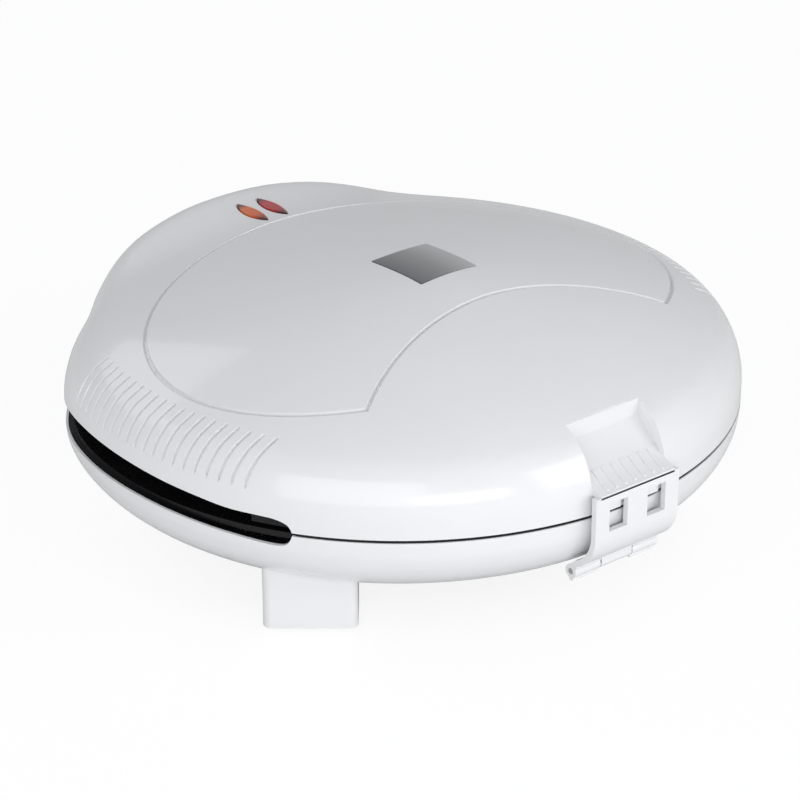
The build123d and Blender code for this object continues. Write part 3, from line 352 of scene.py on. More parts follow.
# Teeth and lug of the latch
TOOTH_X = 8.7
TOOTH_WIDTH = 6.4
TOOTH_TIP = -125.8
TOOTH_ROOT = -122.0
TOOTH_TOP = 4.6
TOOTH_LIFT = 0.4
LATCH_PIVOT = (-116.4, -23.6)
LATCH_BARREL = 2.6
LUG_HALF = 7.0


def through(points, value):
    # Catmull-Rom curve through (place, value) points, level at the first of them
    for i in range(len(points) - 1):
        a0, v0 = points[i]
        a1, v1 = points[i + 1]
        if a0 <= value <= a1:
            before = points[i - 1] if i > 0 else (2 * a0 - a1, v1)
            after = points[i + 2] if i + 2 < len(points) else (2 * a1 - a0, v1)
            t = (value - a0) / (a1 - a0)
            m0 = (v1 - before[1]) / (a1 - before[0]) * (a1 - a0)
            m1 = (after[1] - v0) / (after[0] - a0) * (a1 - a0)
            blend = t * t * (3 - 2 * t)
            return v0 * (1 - blend) + v1 * blend + m0 * t * (1 - t) ** 2 - m1 * t * t * (1 - t)
    return 0.0


TABLE_ANGLES = np.linspace(0, 180, 721)
TABLE_RADII = np.array([BODY_RADIUS - through(REAR_INSETS, a) for a in TABLE_ANGLES])
TABLE_SHARES = np.linspace(0, 1, 201)
TABLE_INSETS = np.array([through(BASE_STEPS, s) for s in TABLE_SHARES])


def radius_towards(u, v):
    return np.interp(np.abs(np.degrees(np.arctan2(u, v))), TABLE_ANGLES, TABLE_RADII)


def dome_height(x, y):
    reach = BODY_RADIUS ** 2 - DOME_APEX_Y ** 2
    side = DOME_APEX_Y * (y - DOME_APEX_Y)
    away = x * x + (y - DOME_APEX_Y) ** 2
    share = np.minimum((side + np.sqrt(side * side + reach * away)) / reach, 1.0)
    return DOME_RIM_RISE + (DOME_RISE - DOME_RIM_RISE) * (1 - share ** DOME_FULLNESS) ** (1 / DOME_ROUNDNESS)


def hood_height(x, y):
    front_fall = (np.maximum(HOOD_FADE_Y - y, 0.0) / HOOD_FADE_LENGTH) ** 2
    side_fall = HOOD_SIDE_FALL * (x / HOOD_HALF_WIDTH) ** 2
    return HOOD_RISE - side_fall - front_fall + HOOD_BACK_SLOPE * (y - HOOD_MIDDLE_Y)


def top_height(x, y):
    dome = dome_height(x, y)
    hood = hood_height(x, y)
    return 0.5 * (dome + hood + np.hypot(dome - hood, HOOD_BLEND))


def lid_surface(p):
    # p holds (u, v, w): a place in the unit disc, and w from 0 to 1 up the wall on its rim
    u, v, w = p[:, 0], p[:, 1], p[:, 2]
    share = np.minimum(np.hypot(u, v), 1.0)
    radius = radius_towards(u, v)
    x = radius * u
    y = radius * v + BADGE_Y * (1 - share)
    inside = radius * (1 - share)
    fall = RIM_ROUND - np.sqrt(np.maximum(RIM_ROUND ** 2 - np.maximum(RIM_ROUND - inside, 0) ** 2, 0))
    top = top_height(x, y) - fall
    z = LID_FACE + w * (top - LID_FACE)
    return np.stack([x, y, z], axis=1)


def base_surface(p):
    # w runs down the bowl from 0 to 1, then in along the bottom to the cover at 2
    u, v, w = p[:, 0], p[:, 1], p[:, 2]
    length = np.hypot(u, v)
    u, v = u / length, v / length
    down = np.clip(w, 0, 1)
    radius = radius_towards(u, v) - np.interp(down, TABLE_SHARES, TABLE_INSETS)
    across = np.clip(w - 1, 0, 1)
    x = radius * u * (1 - across) + COVER_EDGE * u * across
    y = radius * v * (1 - across) + (COVER_EDGE * v + PLATE_Y) * across
    z = -LID_FACE - down * (BASE_DROP - LID_FACE)
    return np.stack([x, y, z], axis=1)


# A distance that stands for nothing near, and the steps of a lip's table
FAR = 99.0
LIP_STEPS = 241


def mouth_edge(y, upper):
    # Height of a mouth's upper or lower lip, out of reach beyond its ends
    knots = MOUTH_UPPER if upper else MOUTH_LOWER
    ys = np.linspace(knots[0][0], knots[-1][0], LIP_STEPS)
    zs = [through(knots, value) for value in ys]
    beyond = -FAR if upper else FAR
    return np.interp(y, ys, zs, left=beyond, right=beyond)


# Marks on the lid: how far a place is from the nearest line, in plan
def panel_distance(x, y):
    dy = y - PANEL_Y
    level = (x / PANEL_HALF_WIDTH) ** 2 + (dy / PANEL_HALF_DEPTH) ** 2 - 1
    slope = 2 * np.hypot(x / PANEL_HALF_WIDTH ** 2, dy / PANEL_HALF_DEPTH ** 2) + 1e-6
    oval = level / slope
    bite = np.hypot(x, y - PANEL_BITE_Y) - PANEL_BITE_RADIUS
    return np.abs(np.maximum(oval, -bite)) - LINE_HALF_WIDTH


def rib_distance(x, y):
    index = np.clip(np.round((y - RIB_MIDDLE_Y) / RIB_PITCH + (RIB_COUNT - 1) / 2), 0, RIB_COUNT - 1)
    middle = RIB_MIDDLE_Y + (index - (RIB_COUNT - 1) / 2) * RIB_PITCH
    outer = np.sqrt(BODY_RADIUS ** 2 - middle ** 2) - RIB_OUTER_INSET
    past = np.maximum(np.maximum(outer - RIB_LENGTH - np.abs(x), np.abs(x) - outer), 0)
    return np.hypot(np.abs(y - middle), past) - RIB_HALF_WIDTH


def lens_distance(x, y):
    # Each lens is what two equal discs share
    half, width = LENS_LENGTH / 2, LENS_WIDTH / 2
    arc = (half ** 2 + width ** 2) / (2 * width)
    side = arc - width
    nearest = np.full_like(x, FAR)
    for lens_x in LENS_XS:
        right_disc = np.hypot(x - lens_x - side, y - LENS_Y)
        left_disc = np.hypot(x - lens_x + side, y - LENS_Y)
        nearest = np.minimum(nearest, np.maximum(right_disc, left_disc) - arc - LENS_MOAT)
    return nearest


def badge_distance(x, y):
    return np.maximum(np.abs(x) - BADGE_HALF[0], np.abs(y - BADGE_Y) - BADGE_HALF[1])


def mark_distance(x, y):
    lines = np.minimum(panel_distance(x, y), rib_distance(x, y))
    return np.minimum(lines, np.minimum(lens_distance(x, y), badge_distance(x, y)))


# Mesh tools
TOO_LONG = 1.35
ON_RIM = 0.99999
SNAP = 0.02
CUT_HALVINGS = 12
SHARP_ANGLE = 38.0


def sides_of(triangles):
    # The three sides of each triangle as pairs of vertices
    return triangles[:, [0, 1, 1, 2, 2, 0]].reshape(-1, 2)


def turned_to(rows, first):
    # Each row of three, begun at its own first place
    return np.stack([rows[np.arange(len(rows)), (first + i) % 3] for i in range(3)], axis=1)


def refine(surface_of, points, triangles, wanted_size, rounds):
    # Splits edges longer than the wanted size, longest edge first, and stays on the surface
    for _ in range(rounds):
        places = surface_of(points)
        edges, back = np.unique(np.sort(sides_of(triangles), axis=1), axis=0, return_inverse=True)
        back = back.reshape(-1, 3)
        length = np.linalg.norm(places[edges[:, 0]] - places[edges[:, 1]], axis=1)
        middle = (places[edges[:, 0]] + places[edges[:, 1]]) / 2
        marked = length > TOO_LONG * wanted_size(middle)
        if not marked.any():
            break
        longest = np.argmax(length[back], axis=1)
        longest_edge = back[np.arange(len(back)), longest]
        while True:
            touched = marked[back].any(axis=1)
            before = marked.sum()
            marked[longest_edge[touched]] = True
            if marked.sum() == before:
                break
        number = np.full(len(edges), -1)
        number[marked] = len(points) + np.arange(marked.sum())
        ends = edges[marked]
        points = np.vstack([points, on_edges(points, ends, np.full(len(ends), 0.5))])
        touched = marked[back].any(axis=1)
        kept = triangles[~touched]
        a, b, c = turned_to(triangles, longest)[touched].T
        m1, m2, m3 = number[turned_to(back, longest)[touched]].T
        pieces = [kept]
        left = m3 < 0
        pieces.append(np.stack([a, m1, c], axis=1)[left])
        pieces.append(np.stack([a, m1, m3], axis=1)[~left])
        pieces.append(np.stack([m1, c, m3], axis=1)[~left])
        right = m2 < 0
        pieces.append(np.stack([m1, b, c], axis=1)[right])
        pieces.append(np.stack([m1, b, m2], axis=1)[~right])
        pieces.append(np.stack([m1, m2, c], axis=1)[~right])
        triangles = np.vstack(pieces)
    return points, triangles


def on_edges(points, edges, share):
    # The place at a share of the way along each edge; edges of the rim stay on it
    share = share[:, None]
    found = points[edges[:, 0]] * (1 - share) + points[edges[:, 1]] * share
    outermost = np.hypot(points[:, 0], points[:, 1]) > ON_RIM
    on_rim = outermost[edges[:, 0]] & outermost[edges[:, 1]]
    scale = np.where(on_rim, 1 / np.maximum(np.hypot(found[:, 0], found[:, 1]), 1e-9), 1.0)
    found[:, :2] *= scale[:, None]
    return found


def split_where(points, triangles, level):
    # Adds vertices where a level crosses zero, so that triangles lie on one side of it
    value = level(points)
    value[np.abs(value) < SNAP] = 0.0
    edges = np.unique(np.sort(sides_of(triangles), axis=1), axis=0)
    edges = edges[value[edges[:, 0]] * value[edges[:, 1]] < 0]
    low, high = np.zeros(len(edges)), np.ones(len(edges))
    for _ in range(CUT_HALVINGS):
        middle = (low + high) / 2
        before = level(on_edges(points, edges, middle)) * value[edges[:, 0]] > 0
        low, high = np.where(before, middle, low), np.where(before, high, middle)
    made = {(int(i), int(j)): len(points) + k for k, (i, j) in enumerate(edges)}
    signs = np.sign(value)
    crossing = (signs[triangles].min(axis=1) < 0) & (signs[triangles].max(axis=1) > 0)
    result = [tuple(triangle) for triangle in triangles[~crossing].tolist()]
    for triangle in triangles[crossing].tolist():
        ring = []
        for k in range(3):
            i, j = triangle[k], triangle[(k + 1) % 3]
            ring.append((i, signs[i]))
            if signs[i] * signs[j] < 0:
                ring.append((made[(min(i, j), max(i, j))], 0))
        for side in (-1, 1):
            part = [i for i, sign in ring if sign in (0, side)]
            for k in range(1, len(part) - 1):
                result.append((part[0], part[k], part[k + 1]))
    if len(edges):
        points = np.vstack([points, on_edges(points, edges, (low + high) / 2)])
    return points, np.array(result)


def tidy_up(points, triangles):
    # Leaves out the points that no triangle uses
    used = np.unique(triangles)
    number = np.full(len(points), -1)
    number[used] = np.arange(len(used))
    return points[used], number[triangles]


def vertex_normals(places, triangles):
    a, b, c = (places[triangles[:, i]] for i in range(3))
    faces = np.cross(b - a, c - a)
    normals = np.zeros_like(places)
    for i in range(3):
        np.add.at(normals, triangles[:, i], faces)
    return normals / np.maximum(np.linalg.norm(normals, axis=1), 1e-12)[:, None]


def thicken(places, plain, triangles, wall):
    # A closed shell: the surface, a copy of the plain one moved in by the wall, and the edges between them
    inner = plain - np.reshape(wall, (-1, 1)) * vertex_normals(plain, triangles)
    count = len(places)
    pairs = sides_of(triangles)
    _, first, times = np.unique(np.sort(pairs, axis=1), axis=0, return_index=True, return_counts=True)
    rim = pairs[first[times == 1]]
    sides = np.vstack([np.stack([rim[:, 1], rim[:, 0], rim[:, 0] + count], axis=1),
                       np.stack([rim[:, 1], rim[:, 0] + count, rim[:, 1] + count], axis=1)])
    return np.vstack([places, inner]), np.vstack([triangles, triangles[:, ::-1] + count, sides])


def mesh_object(name, pieces):
    # One object out of (points in millimetres, faces) pieces
    mesh = bpy.data.meshes.new(name)
    points = []
    faces = []
    for places, own_faces in pieces:
        start = len(points)
        points += (np.asarray(places) / 1000 + np.array(BODY_CENTRE)).tolist()
        faces += [[start + int(i) for i in face] for face in own_faces]
    mesh.from_pydata(points, [], faces)
    mesh.validate()
    mesh.shade_smooth()
    mesh.set_sharp_from_angle(angle=math.radians(SHARP_ANGLE))
    piece = bpy.data.objects.new(name, mesh)
    scene.collection.objects.link(piece)
    return piece


def ring_grid(rows, count):
    # Rows of (share, w) round the centre as one grid of triangles, outer rows first
    turns = np.arange(count) * 2 * math.pi / count
    points = [(share * math.sin(t), share * math.cos(t), w) for share, w in rows for t in turns]
    triangles = []
    for row in range(len(rows) - 1):
        for i in range(count):
            a = row * count + i
            b = row * count + (i + 1) % count
            c, d = b + count, a + count
            triangles += [(a, c, b), (a, d, c)]
    return points, triangles


def bar_x(outline, x0, x1):
    # A bar along X over an outline in the YZ plane
    count = len(outline)
    points = [(x, y, z) for x in (x0, x1) for y, z in outline]
    faces = [list(range(count)), list(range(2 * count - 1, count - 1, -1))]
    faces += [[i, i + count, (i + 1) % count + count, (i + 1) % count] for i in range(count)]
    return points, faces


def box(x0, x1, y0, y1, z0, z1):
    return bar_x([(y0, z0), (y1, z0), (y1, z1), (y0, z1)], x0, x1)


def barrel_x(radius, x0, x1, y, z, count=48):
    turns = [2 * math.pi * i / count for i in range(count)]
    return bar_x([(y + radius * math.cos(t), z + radius * math.sin(t)) for t in turns], x0, x1)


def ramp_floor(y):
    (y0, z0), (y1, z1) = RAMP_TOP, RAMP_BOTTOM
    share = np.clip((y - y0) / (y1 - y0), 0, 1)
    return z0 + (z1 - z0) * share - RAMP_BULGE * 4 * share * (1 - share)


def outer_height(x, y):
    # Height of the lid's outer face over one place
    inside = radius_towards(np.array([x]), np.array([y]))[0] - math.hypot(x, y)
    short = max(RIM_ROUND - inside, 0.0)
    fall = RIM_ROUND - math.sqrt(max(RIM_ROUND ** 2 - short ** 2, 0.0))
    return float(top_height(np.array([x]), np.array([y]))[0]) - fall


def mirrored(piece):
    points, faces = piece
    return [(-x, y, z) for x, y, z in points], [face[::-1] for face in faces]


def lid_extras():
    # Thumb ramp with its cheeks and ribs, the two teeth and the two knuckles
    (y0, z0), (y1, z1) = RAMP_TOP, RAMP_BOTTOM
    floor = [(y, float(ramp_floor(y))) for y in np.linspace(y0, y1, RAMP_STEPS)]
    under = [(y1, z1 - RAMP_NOSE), (RAMP_BEND_Y, z1 - RAMP_NOSE), (y0 + RAMP_BACK, z0 - RAMP_BACK_DEPTH),
             (y0 + RAMP_BACK, z0)]
    pieces = [bar_x(floor + under, -RAMP_HALF_WIDTH, RAMP_HALF_WIDTH)]
    # The cheeks end where the dome drops below the ramp
    cheek_ys = np.linspace(y0 + RAMP_BACK, CHEEK_END_Y, RAMP_STEPS)
    rise = [(y, outer_height(RAMP_HALF_WIDTH, y) - CHEEK_BELOW) for y in cheek_ys]
    rise = [(y, z) for y, z in rise if z > float(ramp_floor(y)) + CHEEK_LEAST]
    foot = [(y, float(ramp_floor(y)) - CHEEK_FOOT) for y, z in reversed(rise)]
    outside = RAMP_HALF_WIDTH + CHEEK_WALL
    cheek = bar_x(rise + foot, RAMP_HALF_WIDTH, outside)
    pieces += [cheek, mirrored(cheek)]
    top = outer_height(RAMP_HALF_WIDTH, y0 + BACK_WALL_MIDDLE) - CHEEK_BELOW
    pieces.append(box(-outside, outside, y0, y0 + CHEEK_WALL, z0 - BACK_WALL_FOOT, top))
    rib_ys = np.linspace(y0 + (y1 - y0) * RAMP_RIB_SPAN[0], y0 + (y1 - y0) * RAMP_RIB_SPAN[1], RAMP_RIB_STEPS)
    crest = [(y, float(ramp_floor(y)) + RAMP_RIB_HEIGHT) for y in rib_ys]
    sole = [(y, float(ramp_floor(y)) - RAMP_RIB_SUNK) for y in reversed(rib_ys)]
    for i in range(RAMP_RIB_COUNT):
        x = (i - (RAMP_RIB_COUNT - 1) / 2) * RAMP_RIB_PITCH
        pieces.append(bar_x(crest + sole, x - RAMP_RIB_WIDTH / 2, x + RAMP_RIB_WIDTH / 2))
    for x in (-TOOTH_X, TOOTH_X):
        left, right = x - TOOTH_WIDTH / 2, x + TOOTH_WIDTH / 2
        pieces.append(box(left, right, TOOTH_TIP, TOOTH_ROOT, LID_FACE + TOOTH_LIFT, TOOTH_TOP))
    start, end = LID_KNUCKLE
    front, back = HINGE_Y - HINGE_BARREL, HINGE_Y + HINGE_BARREL * LID_WEB_SHARE
    knuckle = [barrel_x(HINGE_BARREL, start, end, HINGE_Y, 0),
               box(start, end, front, back, 0, HINGE_SLOT_RISE + LID_WEB_OVER)]
    return pieces + knuckle + [mirrored(piece) for piece in knuckle]


def base_extras():
    # Three knuckles and the lug of the latch
    low = -HINGE_SLOT_DROP - BASE_WEB_UNDER
    front, back = HINGE_Y - HINGE_BARREL, HINGE_Y + HINGE_BARREL * BASE_WEB_SHARE
    pieces = [barrel_x(HINGE_BARREL, -CENTRE_KNUCKLE, CENTRE_KNUCKLE, HINGE_Y, 0),
              box(-CENTRE_KNUCKLE, CENTRE_KNUCKLE, front, back, low, 0)]
    start, end = OUTER_KNUCKLE
    outer = [barrel_x(HINGE_BARREL, start, end, HINGE_Y, 0), box(start, end, front, back, low, 0)]
    pieces += outer + [mirrored(piece) for piece in outer]
    y, z = LATCH_PIVOT
    pieces.append(barrel_x(LATCH_BARREL, -LUG_HALF, LUG_HALF, y, z))
    pieces.append(box(-LUG_HALF, LUG_HALF, y - LATCH_BARREL, y + LATCH_BARREL, z, z + 2 * LATCH_BARREL))
    return pieces


# Levels that the shells are cut along
OUTSIDE = 50.0
MARK_STEEPNESS = 4


def at_rear(places):
    return places[:, 1] > REAR_Y


def in_front(places):
    return places[:, 1] < FRONT_Y


def plane_level(surface_of, axis, value, region, outside=OUTSIDE):
    # Zero on a plane across an axis, within a region
    def level(p):
        places = surface_of(p)
        return np.where(region(places), places[:, axis] - value, outside)
    return level


def lip_level(surface_of, upper):
    # Zero on the upper or lower lip of both mouths
    def level(p):
        x, y, z = surface_of(p).T
        return np.where(np.abs(x) > MOUTH_SIDE_X, z - mouth_edge(y, upper), OUTSIDE if upper else -OUTSIDE)
    return level


def mark_level(distance):
    # Zero at a distance from the marks' edge, steep so that little of it snaps
    def level(p):
        places = lid_surface(p)
        return (mark_distance(places[:, 0], places[:, 1]) - distance) * MARK_STEEPNESS
    return level


def ramp_level(p):
    # Zero on the floor of the ramp
    x, y, z = lid_surface(p).T
    return np.where((np.abs(x) < FRONT_HALF_WIDTH) & (y < FRONT_Y), z - ramp_floor(y), OUTSIDE)


def lip_distance(x, y, z, upper):
    return np.where(np.abs(x) > MOUTH_SIDE_X, np.abs(z - mouth_edge(y, upper)), FAR)


# Lid shell as one smooth mesh
LID_RING_POINTS = 120
LID_WALL_ROWS = (0.0, 0.34, 0.67, 1.0)
RIM_TURNS = (12, 24, 36, 48, 60, 75, 90)
DOME_RING_STEP = 0.06
DOME_LAST_RING = 0.1
FINE_EDGE = 1.1
EDGE_GROWTH = 0.6
LID_COARSE_EDGE = 4.5
LID_ROUNDS = 9
CUT_WEIGHT = 0.8
CUT_EXTRA = 0.3


def lid_edge_wanted(places):
    # Fine at the marks, the lips and the sides of the ramp
    x, y, z = places.T
    marks = np.maximum(mark_distance(x, y) - LINE_EDGE, 0)
    corner = np.where(y < FRONT_Y, np.abs(np.abs(x) - RAMP_HALF_WIDTH), FAR)
    cuts = np.minimum(lip_distance(x, y, z, True), corner) * CUT_WEIGHT + CUT_EXTRA
    return np.minimum(FINE_EDGE + EDGE_GROWTH * np.minimum(marks, cuts), LID_COARSE_EDGE)


def lid_grid():
    # Rings up the wall, round the rim and over the dome to its middle
    rows = [(1.0, w) for w in LID_WALL_ROWS]
    rows += [(1 - RIM_ROUND * (1 - math.cos(math.radians(t))) / BODY_RADIUS, 1.0) for t in RIM_TURNS]
    share = rows[-1][0] - DOME_RING_STEP
    while share > DOME_LAST_RING:
        rows.append((share, 1.0))
        share -= DOME_RING_STEP
    points, triangles = ring_grid(rows, LID_RING_POINTS)
    last = len(points) - LID_RING_POINTS
    points.append((0.0, 0.0, 1.0))
    for i in range(LID_RING_POINTS):
        triangles.append((last + i, len(points) - 1, last + (i + 1) % LID_RING_POINTS))
    return np.array(points), np.array(triangles)


def make_lid_mesh():
    points, triangles = lid_grid()
    points, triangles = refine(lid_surface, points, triangles, lid_edge_wanted, LID_ROUNDS)
    levels = [mark_level(-LINE_EDGE / 2), mark_level(LINE_EDGE / 2)]
    levels += [plane_level(lid_surface, 0, x, at_rear) for x in (-HINGE_SLOT_HALF, HINGE_SLOT_HALF)]
    levels.append(plane_level(lid_surface, 2, HINGE_SLOT_RISE, at_rear))
    levels += [plane_level(lid_surface, 0, x, in_front) for x in (-RAMP_HALF_WIDTH, RAMP_HALF_WIDTH)]
    levels.append(plane_level(lid_surface, 1, RAMP_TOP[0], in_front))
    levels += [ramp_level, lip_level(lid_surface, True)]
    for level in levels:
        points, triangles = split_where(points, triangles, level)
    x, y, z = lid_surface(points)[triangles].mean(axis=1).T
    gone = (np.abs(x) > MOUTH_SIDE_X) & (z < mouth_edge(y, True))
    gone |= (np.abs(x) < HINGE_SLOT_HALF) & (y > REAR_Y) & (z < HINGE_SLOT_RISE)
    gone |= (np.abs(x) < RAMP_HALF_WIDTH) & (y < RAMP_TOP[0]) & (z > ramp_floor(y))
    points, triangles = tidy_up(points, triangles[~gone])
    places = lid_surface(points)
    distance = mark_distance(places[:, 0], places[:, 1])
    depth = np.clip(0.5 - distance / LINE_EDGE, 0, 1) * LINE_DEPTH
    marked = places - vertex_normals(places, triangles) * depth[:, None]
    shell = thicken(marked, places, triangles, WALL)
    return mesh_object("lid_skin", [shell] + lid_extras())


# Base shell as one smooth mesh
BASE_RING_POINTS = 180
BOWL_ROWS = 25
BOTTOM_ROWS = (1.33, 1.66, 2.0)
BASE_FINE_EDGE = 0.7
BASE_COARSE_EDGE = 5.0
BASE_ROUNDS = 5


def base_edge_wanted(places):
    # Fine at the lips
    lip = lip_distance(*places.T, False)
    return np.minimum(BASE_FINE_EDGE + EDGE_GROWTH * lip, BASE_COARSE_EDGE)


def make_base_mesh():
    rows = [(1.0, w) for w in (*np.linspace(0, 1, BOWL_ROWS), *BOTTOM_ROWS)]
    points, triangles = ring_grid(rows, BASE_RING_POINTS)
    points, triangles = np.array(points), np.array(triangles)[:, ::-1]
    points, triangles = refine(base_surface, points, triangles, base_edge_wanted, BASE_ROUNDS)
    levels = [plane_level(base_surface, 0, x, at_rear) for x in (-HINGE_SLOT_HALF, HINGE_SLOT_HALF)]
    levels.append(plane_level(base_surface, 2, -HINGE_SLOT_DROP, at_rear, -OUTSIDE))
    levels.append(lip_level(base_surface, False))
    for level in levels:
        points, triangles = split_where(points, triangles, level)
    x, y, z = base_surface(points)[triangles].mean(axis=1).T
    gone = (np.abs(x) > MOUTH_SIDE_X) & (z > mouth_edge(y, False))
    gone |= (np.abs(x) < HINGE_SLOT_HALF) & (y > REAR_Y) & (z > -HINGE_SLOT_DROP)
    points, triangles = tidy_up(points, triangles[~gone])
    places = base_surface(points)
    deep = np.clip((-places[:, 2] - LIP_START) / LIP_RUN, 0, 1)
    shell = thicken(places, places, triangles, LIP_WALL + (WALL - LIP_WALL) * deep)
    return mesh_object("base_skin", [shell] + base_extras())


def make_badge():
    # A thin bare plate that lies on the dome
    across = np.linspace(-1, 1, BADGE_STEPS)
    grid_x, grid_y = np.meshgrid(across * BADGE_PLATE[0] / 2, across * BADGE_PLATE[1] / 2 + BADGE_Y)
    x, y = grid_x.ravel(), grid_y.ravel()
    height = top_height(x, y)
    count = len(x)
    points = np.vstack([np.stack([x, y, height + lift], axis=1) for lift in (BADGE_PROUD, -BADGE_SUNK)])
    last = BADGE_STEPS - 1
    cells = [r * BADGE_STEPS + c for r in range(last) for c in range(last)]
    faces = [[i, i + 1, i + 1 + BADGE_STEPS, i + BADGE_STEPS] for i in cells]
    faces += [[i + count for i in face[::-1]] for face in faces]
    rim = list(range(last)) + [last + r * BADGE_STEPS for r in range(last)]
    rim += [count - 1 - c for c in range(last)] + [count - 1 - last - r * BADGE_STEPS for r in range(last)]
    for i, start in enumerate(rim):
        end = rim[(i + 1) % len(rim)]
        faces.append([end, start, start + count, end + count])
    return mesh_object("badge_skin", [(points, faces)])


def sweep_sections(sections):
    # A closed bar through a row of four-cornered sections
    points = [corner for section in sections for corner in section]
    faces = [[0, 1, 2, 3], [len(points) - 1 - i for i in range(4)]]
    for i in range(len(sections) - 1):
        for k in range(4):
            a, b = 4 * i + k, 4 * i + (k + 1) % 4
            faces.append([b, a, a + 4, b + 4])
    return points, faces


def flange_section(angle, inset, width, low, high):
    # A corner each at the outer low, outer high, inner high and inner low edge
    outer = float(radius_towards(math.sin(angle), math.cos(angle))) - inset
    corners = ((outer, low), (outer, high), (outer - width, high), (outer - width, low))
    return [(r * math.sin(angle), r * math.cos(angle), z) for r, z in corners]


def base_flange():
    # The liner's black edge: the thin line all round, dipping behind the lower lip of both mouths
    sections = []
    for degrees in range(FLANGE_FIRST_ANGLE, 361 - FLANGE_FIRST_ANGLE):
        angle = math.radians(degrees)
        y = float(radius_towards(math.sin(angle), math.cos(angle))) * math.cos(angle)
        lip = float(mouth_edge(y, False)) if abs(math.sin(angle)) > MOUTH_SIDE_SINE else FAR
        inset, low, high = FLANGE_INSET, FLANGE_LOW, FLANGE_TOP
        if lip < FLANGE_DIPS_UNDER:
            inset, low = FLANGE_INSET + LIP_WALL, FLANGE_MOUTH_LOW
            high = min(lip - FLANGE_LIP_GAP, FLANGE_TOP)
        sections.append(flange_section(angle, inset, FLANGE_WIDTH, low, high))
    return [sweep_sections(sections)]


def lid_mouth_ends():
    # Closes the front tip of both mouths behind the upper lip
    pieces = []
    size = (MOUTH_END_INSET, MOUTH_END_WIDTH, MOUTH_END_LOW, MOUTH_END_HIGH)
    for first, last in MOUTH_END_TURNS:
        turns = [math.radians(a) for a in range(first, last + 1)]
        pieces.append(sweep_sections([flange_section(t, *size) for t in turns]))
    return pieces


# The two shells that replace the faceted ones
lid_skin = make_lid_mesh()
base_skin = make_base_mesh()
for skin, node, body in ((lid_skin, "lid_shell", "lid"), (base_skin, "base_shell", "base")):
    skin.data.materials.append(SURFACES["body_plastic"])
    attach(skin, body)
    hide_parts(node)

badge_skin = make_badge()
badge_skin.data.materials.append(SURFACES["badge_metal"])
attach(badge_skin, "lid")
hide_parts("badge_plate")

# The liner's black edge in the joint between the shells
TRIM = (("lid_mouth_ends", "lid", lid_mouth_ends), ("base_flange", "base", base_flange))
for name, body, make_pieces in TRIM:
    black = mesh_object(name, make_pieces())
    black.data.materials.append(SURFACES["black_plastic"])
    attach(black, body)


# Floor and light
WORLD_COLOUR = (0.97, 0.98, 1.0, 1)
WORLD_STRENGTH = 0.5
WHITE = (1, 1, 1, 1)
FLOOR_HALF = 3.0
FLOOR_Z = -0.0004
FLOOR_COLOUR = (0.86, 0.86, 0.86, 1)
FLOOR_ROUGHNESS = 0.6
FLOOR_WHITE_STRENGTH = 1.08
FLOOR_WHITE_SHARE = 0.8


def is_seen(tree):
    # One for rays from the camera and through glass, else zero
    path = tree.nodes.new("ShaderNodeLightPath")
    either = tree.nodes.new("ShaderNodeMath")
    either.operation = "MAXIMUM"
    tree.links.new(path.outputs["Is Camera Ray"], either.inputs[0])
    tree.links.new(path.outputs["Is Transmission Ray"], either.inputs[1])
    return either.outputs[0]


def mix_shaders(tree, share, first, second, output):
    mix = tree.nodes.new("ShaderNodeMixShader")
    tree.links.new(share, mix.inputs["Fac"])
    tree.links.new(first, mix.inputs[1])
    tree.links.new(second, mix.inputs[2])
    tree.links.new(mix.outputs["Shader"], output.inputs["Surface"])


def background(tree, colour, strength):
    node = tree.nodes.new("ShaderNodeBackground")
    node.inputs["Color"].default_value = colour
    node.inputs["Strength"].default_value = strength
    return node.outputs["Background"]


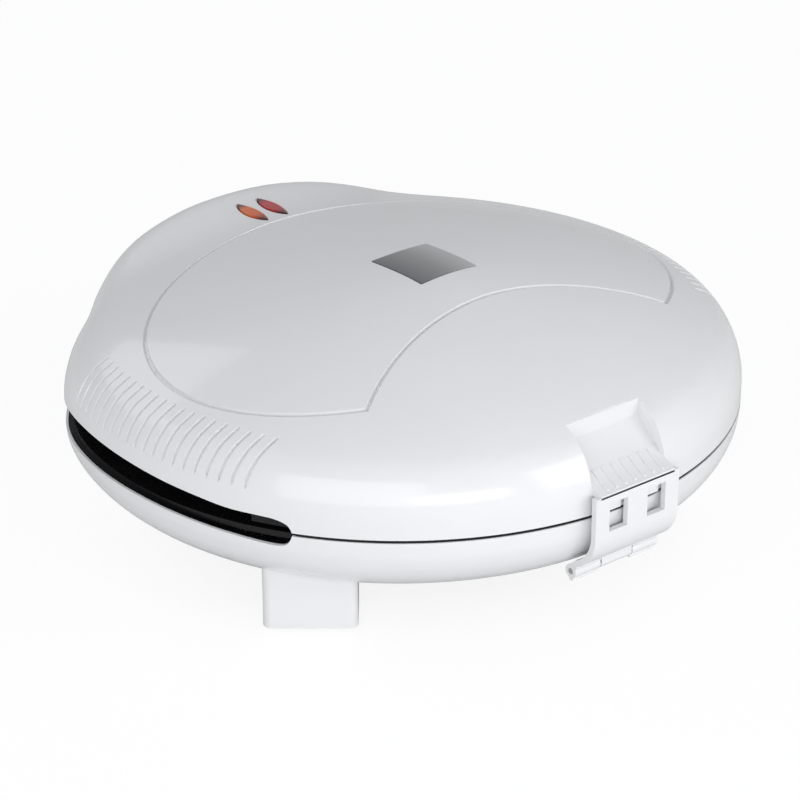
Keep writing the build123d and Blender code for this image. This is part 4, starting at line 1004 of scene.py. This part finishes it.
def make_world():
    world = bpy.data.worlds.new("studio")
    scene.world = world
    world.use_nodes = True
    tree = world.node_tree
    tree.nodes.clear()
    output = tree.nodes.new("ShaderNodeOutputWorld")
    soft = background(tree, WORLD_COLOUR, WORLD_STRENGTH)
    white = background(tree, WHITE, 1.0)
    mix_shaders(tree, is_seen(tree), soft, white, output)


def make_floor():
    # A pale floor, mostly plain white to the camera, that keeps the object's shadow
    half = FLOOR_HALF
    corners = [(-half, -half, 0), (half, -half, 0), (half, half, 0), (-half, half, 0)]
    mesh = bpy.data.meshes.new("floor")
    mesh.from_pydata(corners, [], [(0, 1, 2, 3)])
    floor = bpy.data.objects.new("floor", mesh)
    floor.location = (0, 0, FLOOR_Z)
    scene.collection.objects.link(floor)
    material, tree, shader = new_material("floor")
    output = [n for n in tree.nodes if n.type == "OUTPUT_MATERIAL"][0]
    shader.inputs["Base Color"].default_value = FLOOR_COLOUR
    shader.inputs["Roughness"].default_value = FLOOR_ROUGHNESS
    white = tree.nodes.new("ShaderNodeEmission")
    white.inputs["Strength"].default_value = FLOOR_WHITE_STRENGTH
    share = tree.nodes.new("ShaderNodeMath")
    share.operation = "MULTIPLY"
    share.inputs[1].default_value = FLOOR_WHITE_SHARE
    tree.links.new(is_seen(tree), share.inputs[0])
    mix_shaders(tree, share.outputs[0], shader.outputs["BSDF"], white.outputs["Emission"], output)
    floor.data.materials.append(material)


def softbox(name, position, target, width, height, watts):
    data = bpy.data.lights.new(name, "AREA")
    data.shape = "RECTANGLE"
    data.size = width
    data.size_y = height
    data.energy = watts
    light = bpy.data.objects.new(name, data)
    light.location = position
    aim = Vector(target) - Vector(position)
    light.rotation_euler = aim.to_track_quat("-Z", "Y").to_euler()
    scene.collection.objects.link(light)


make_world()
make_floor()
softbox("front", (-0.56, -1.5, 0.36), target=(0, 0, 0.05), width=0.8, height=0.3, watts=4)
softbox("back", (-0.4, 1.6, 1.3), target=(0, 0, 0.06), width=1.6, height=0.7, watts=3.5)
softbox("right", (0.9, -1.8, 0.7), target=(0, 0, 0.06), width=1.6, height=1.2, watts=13.5)
softbox("left", (-1.52, -1.06, 0.75), target=(0, 0, 0.06), width=1.6, height=1.2, watts=10)

scene.view_settings.view_transform = "Standard"
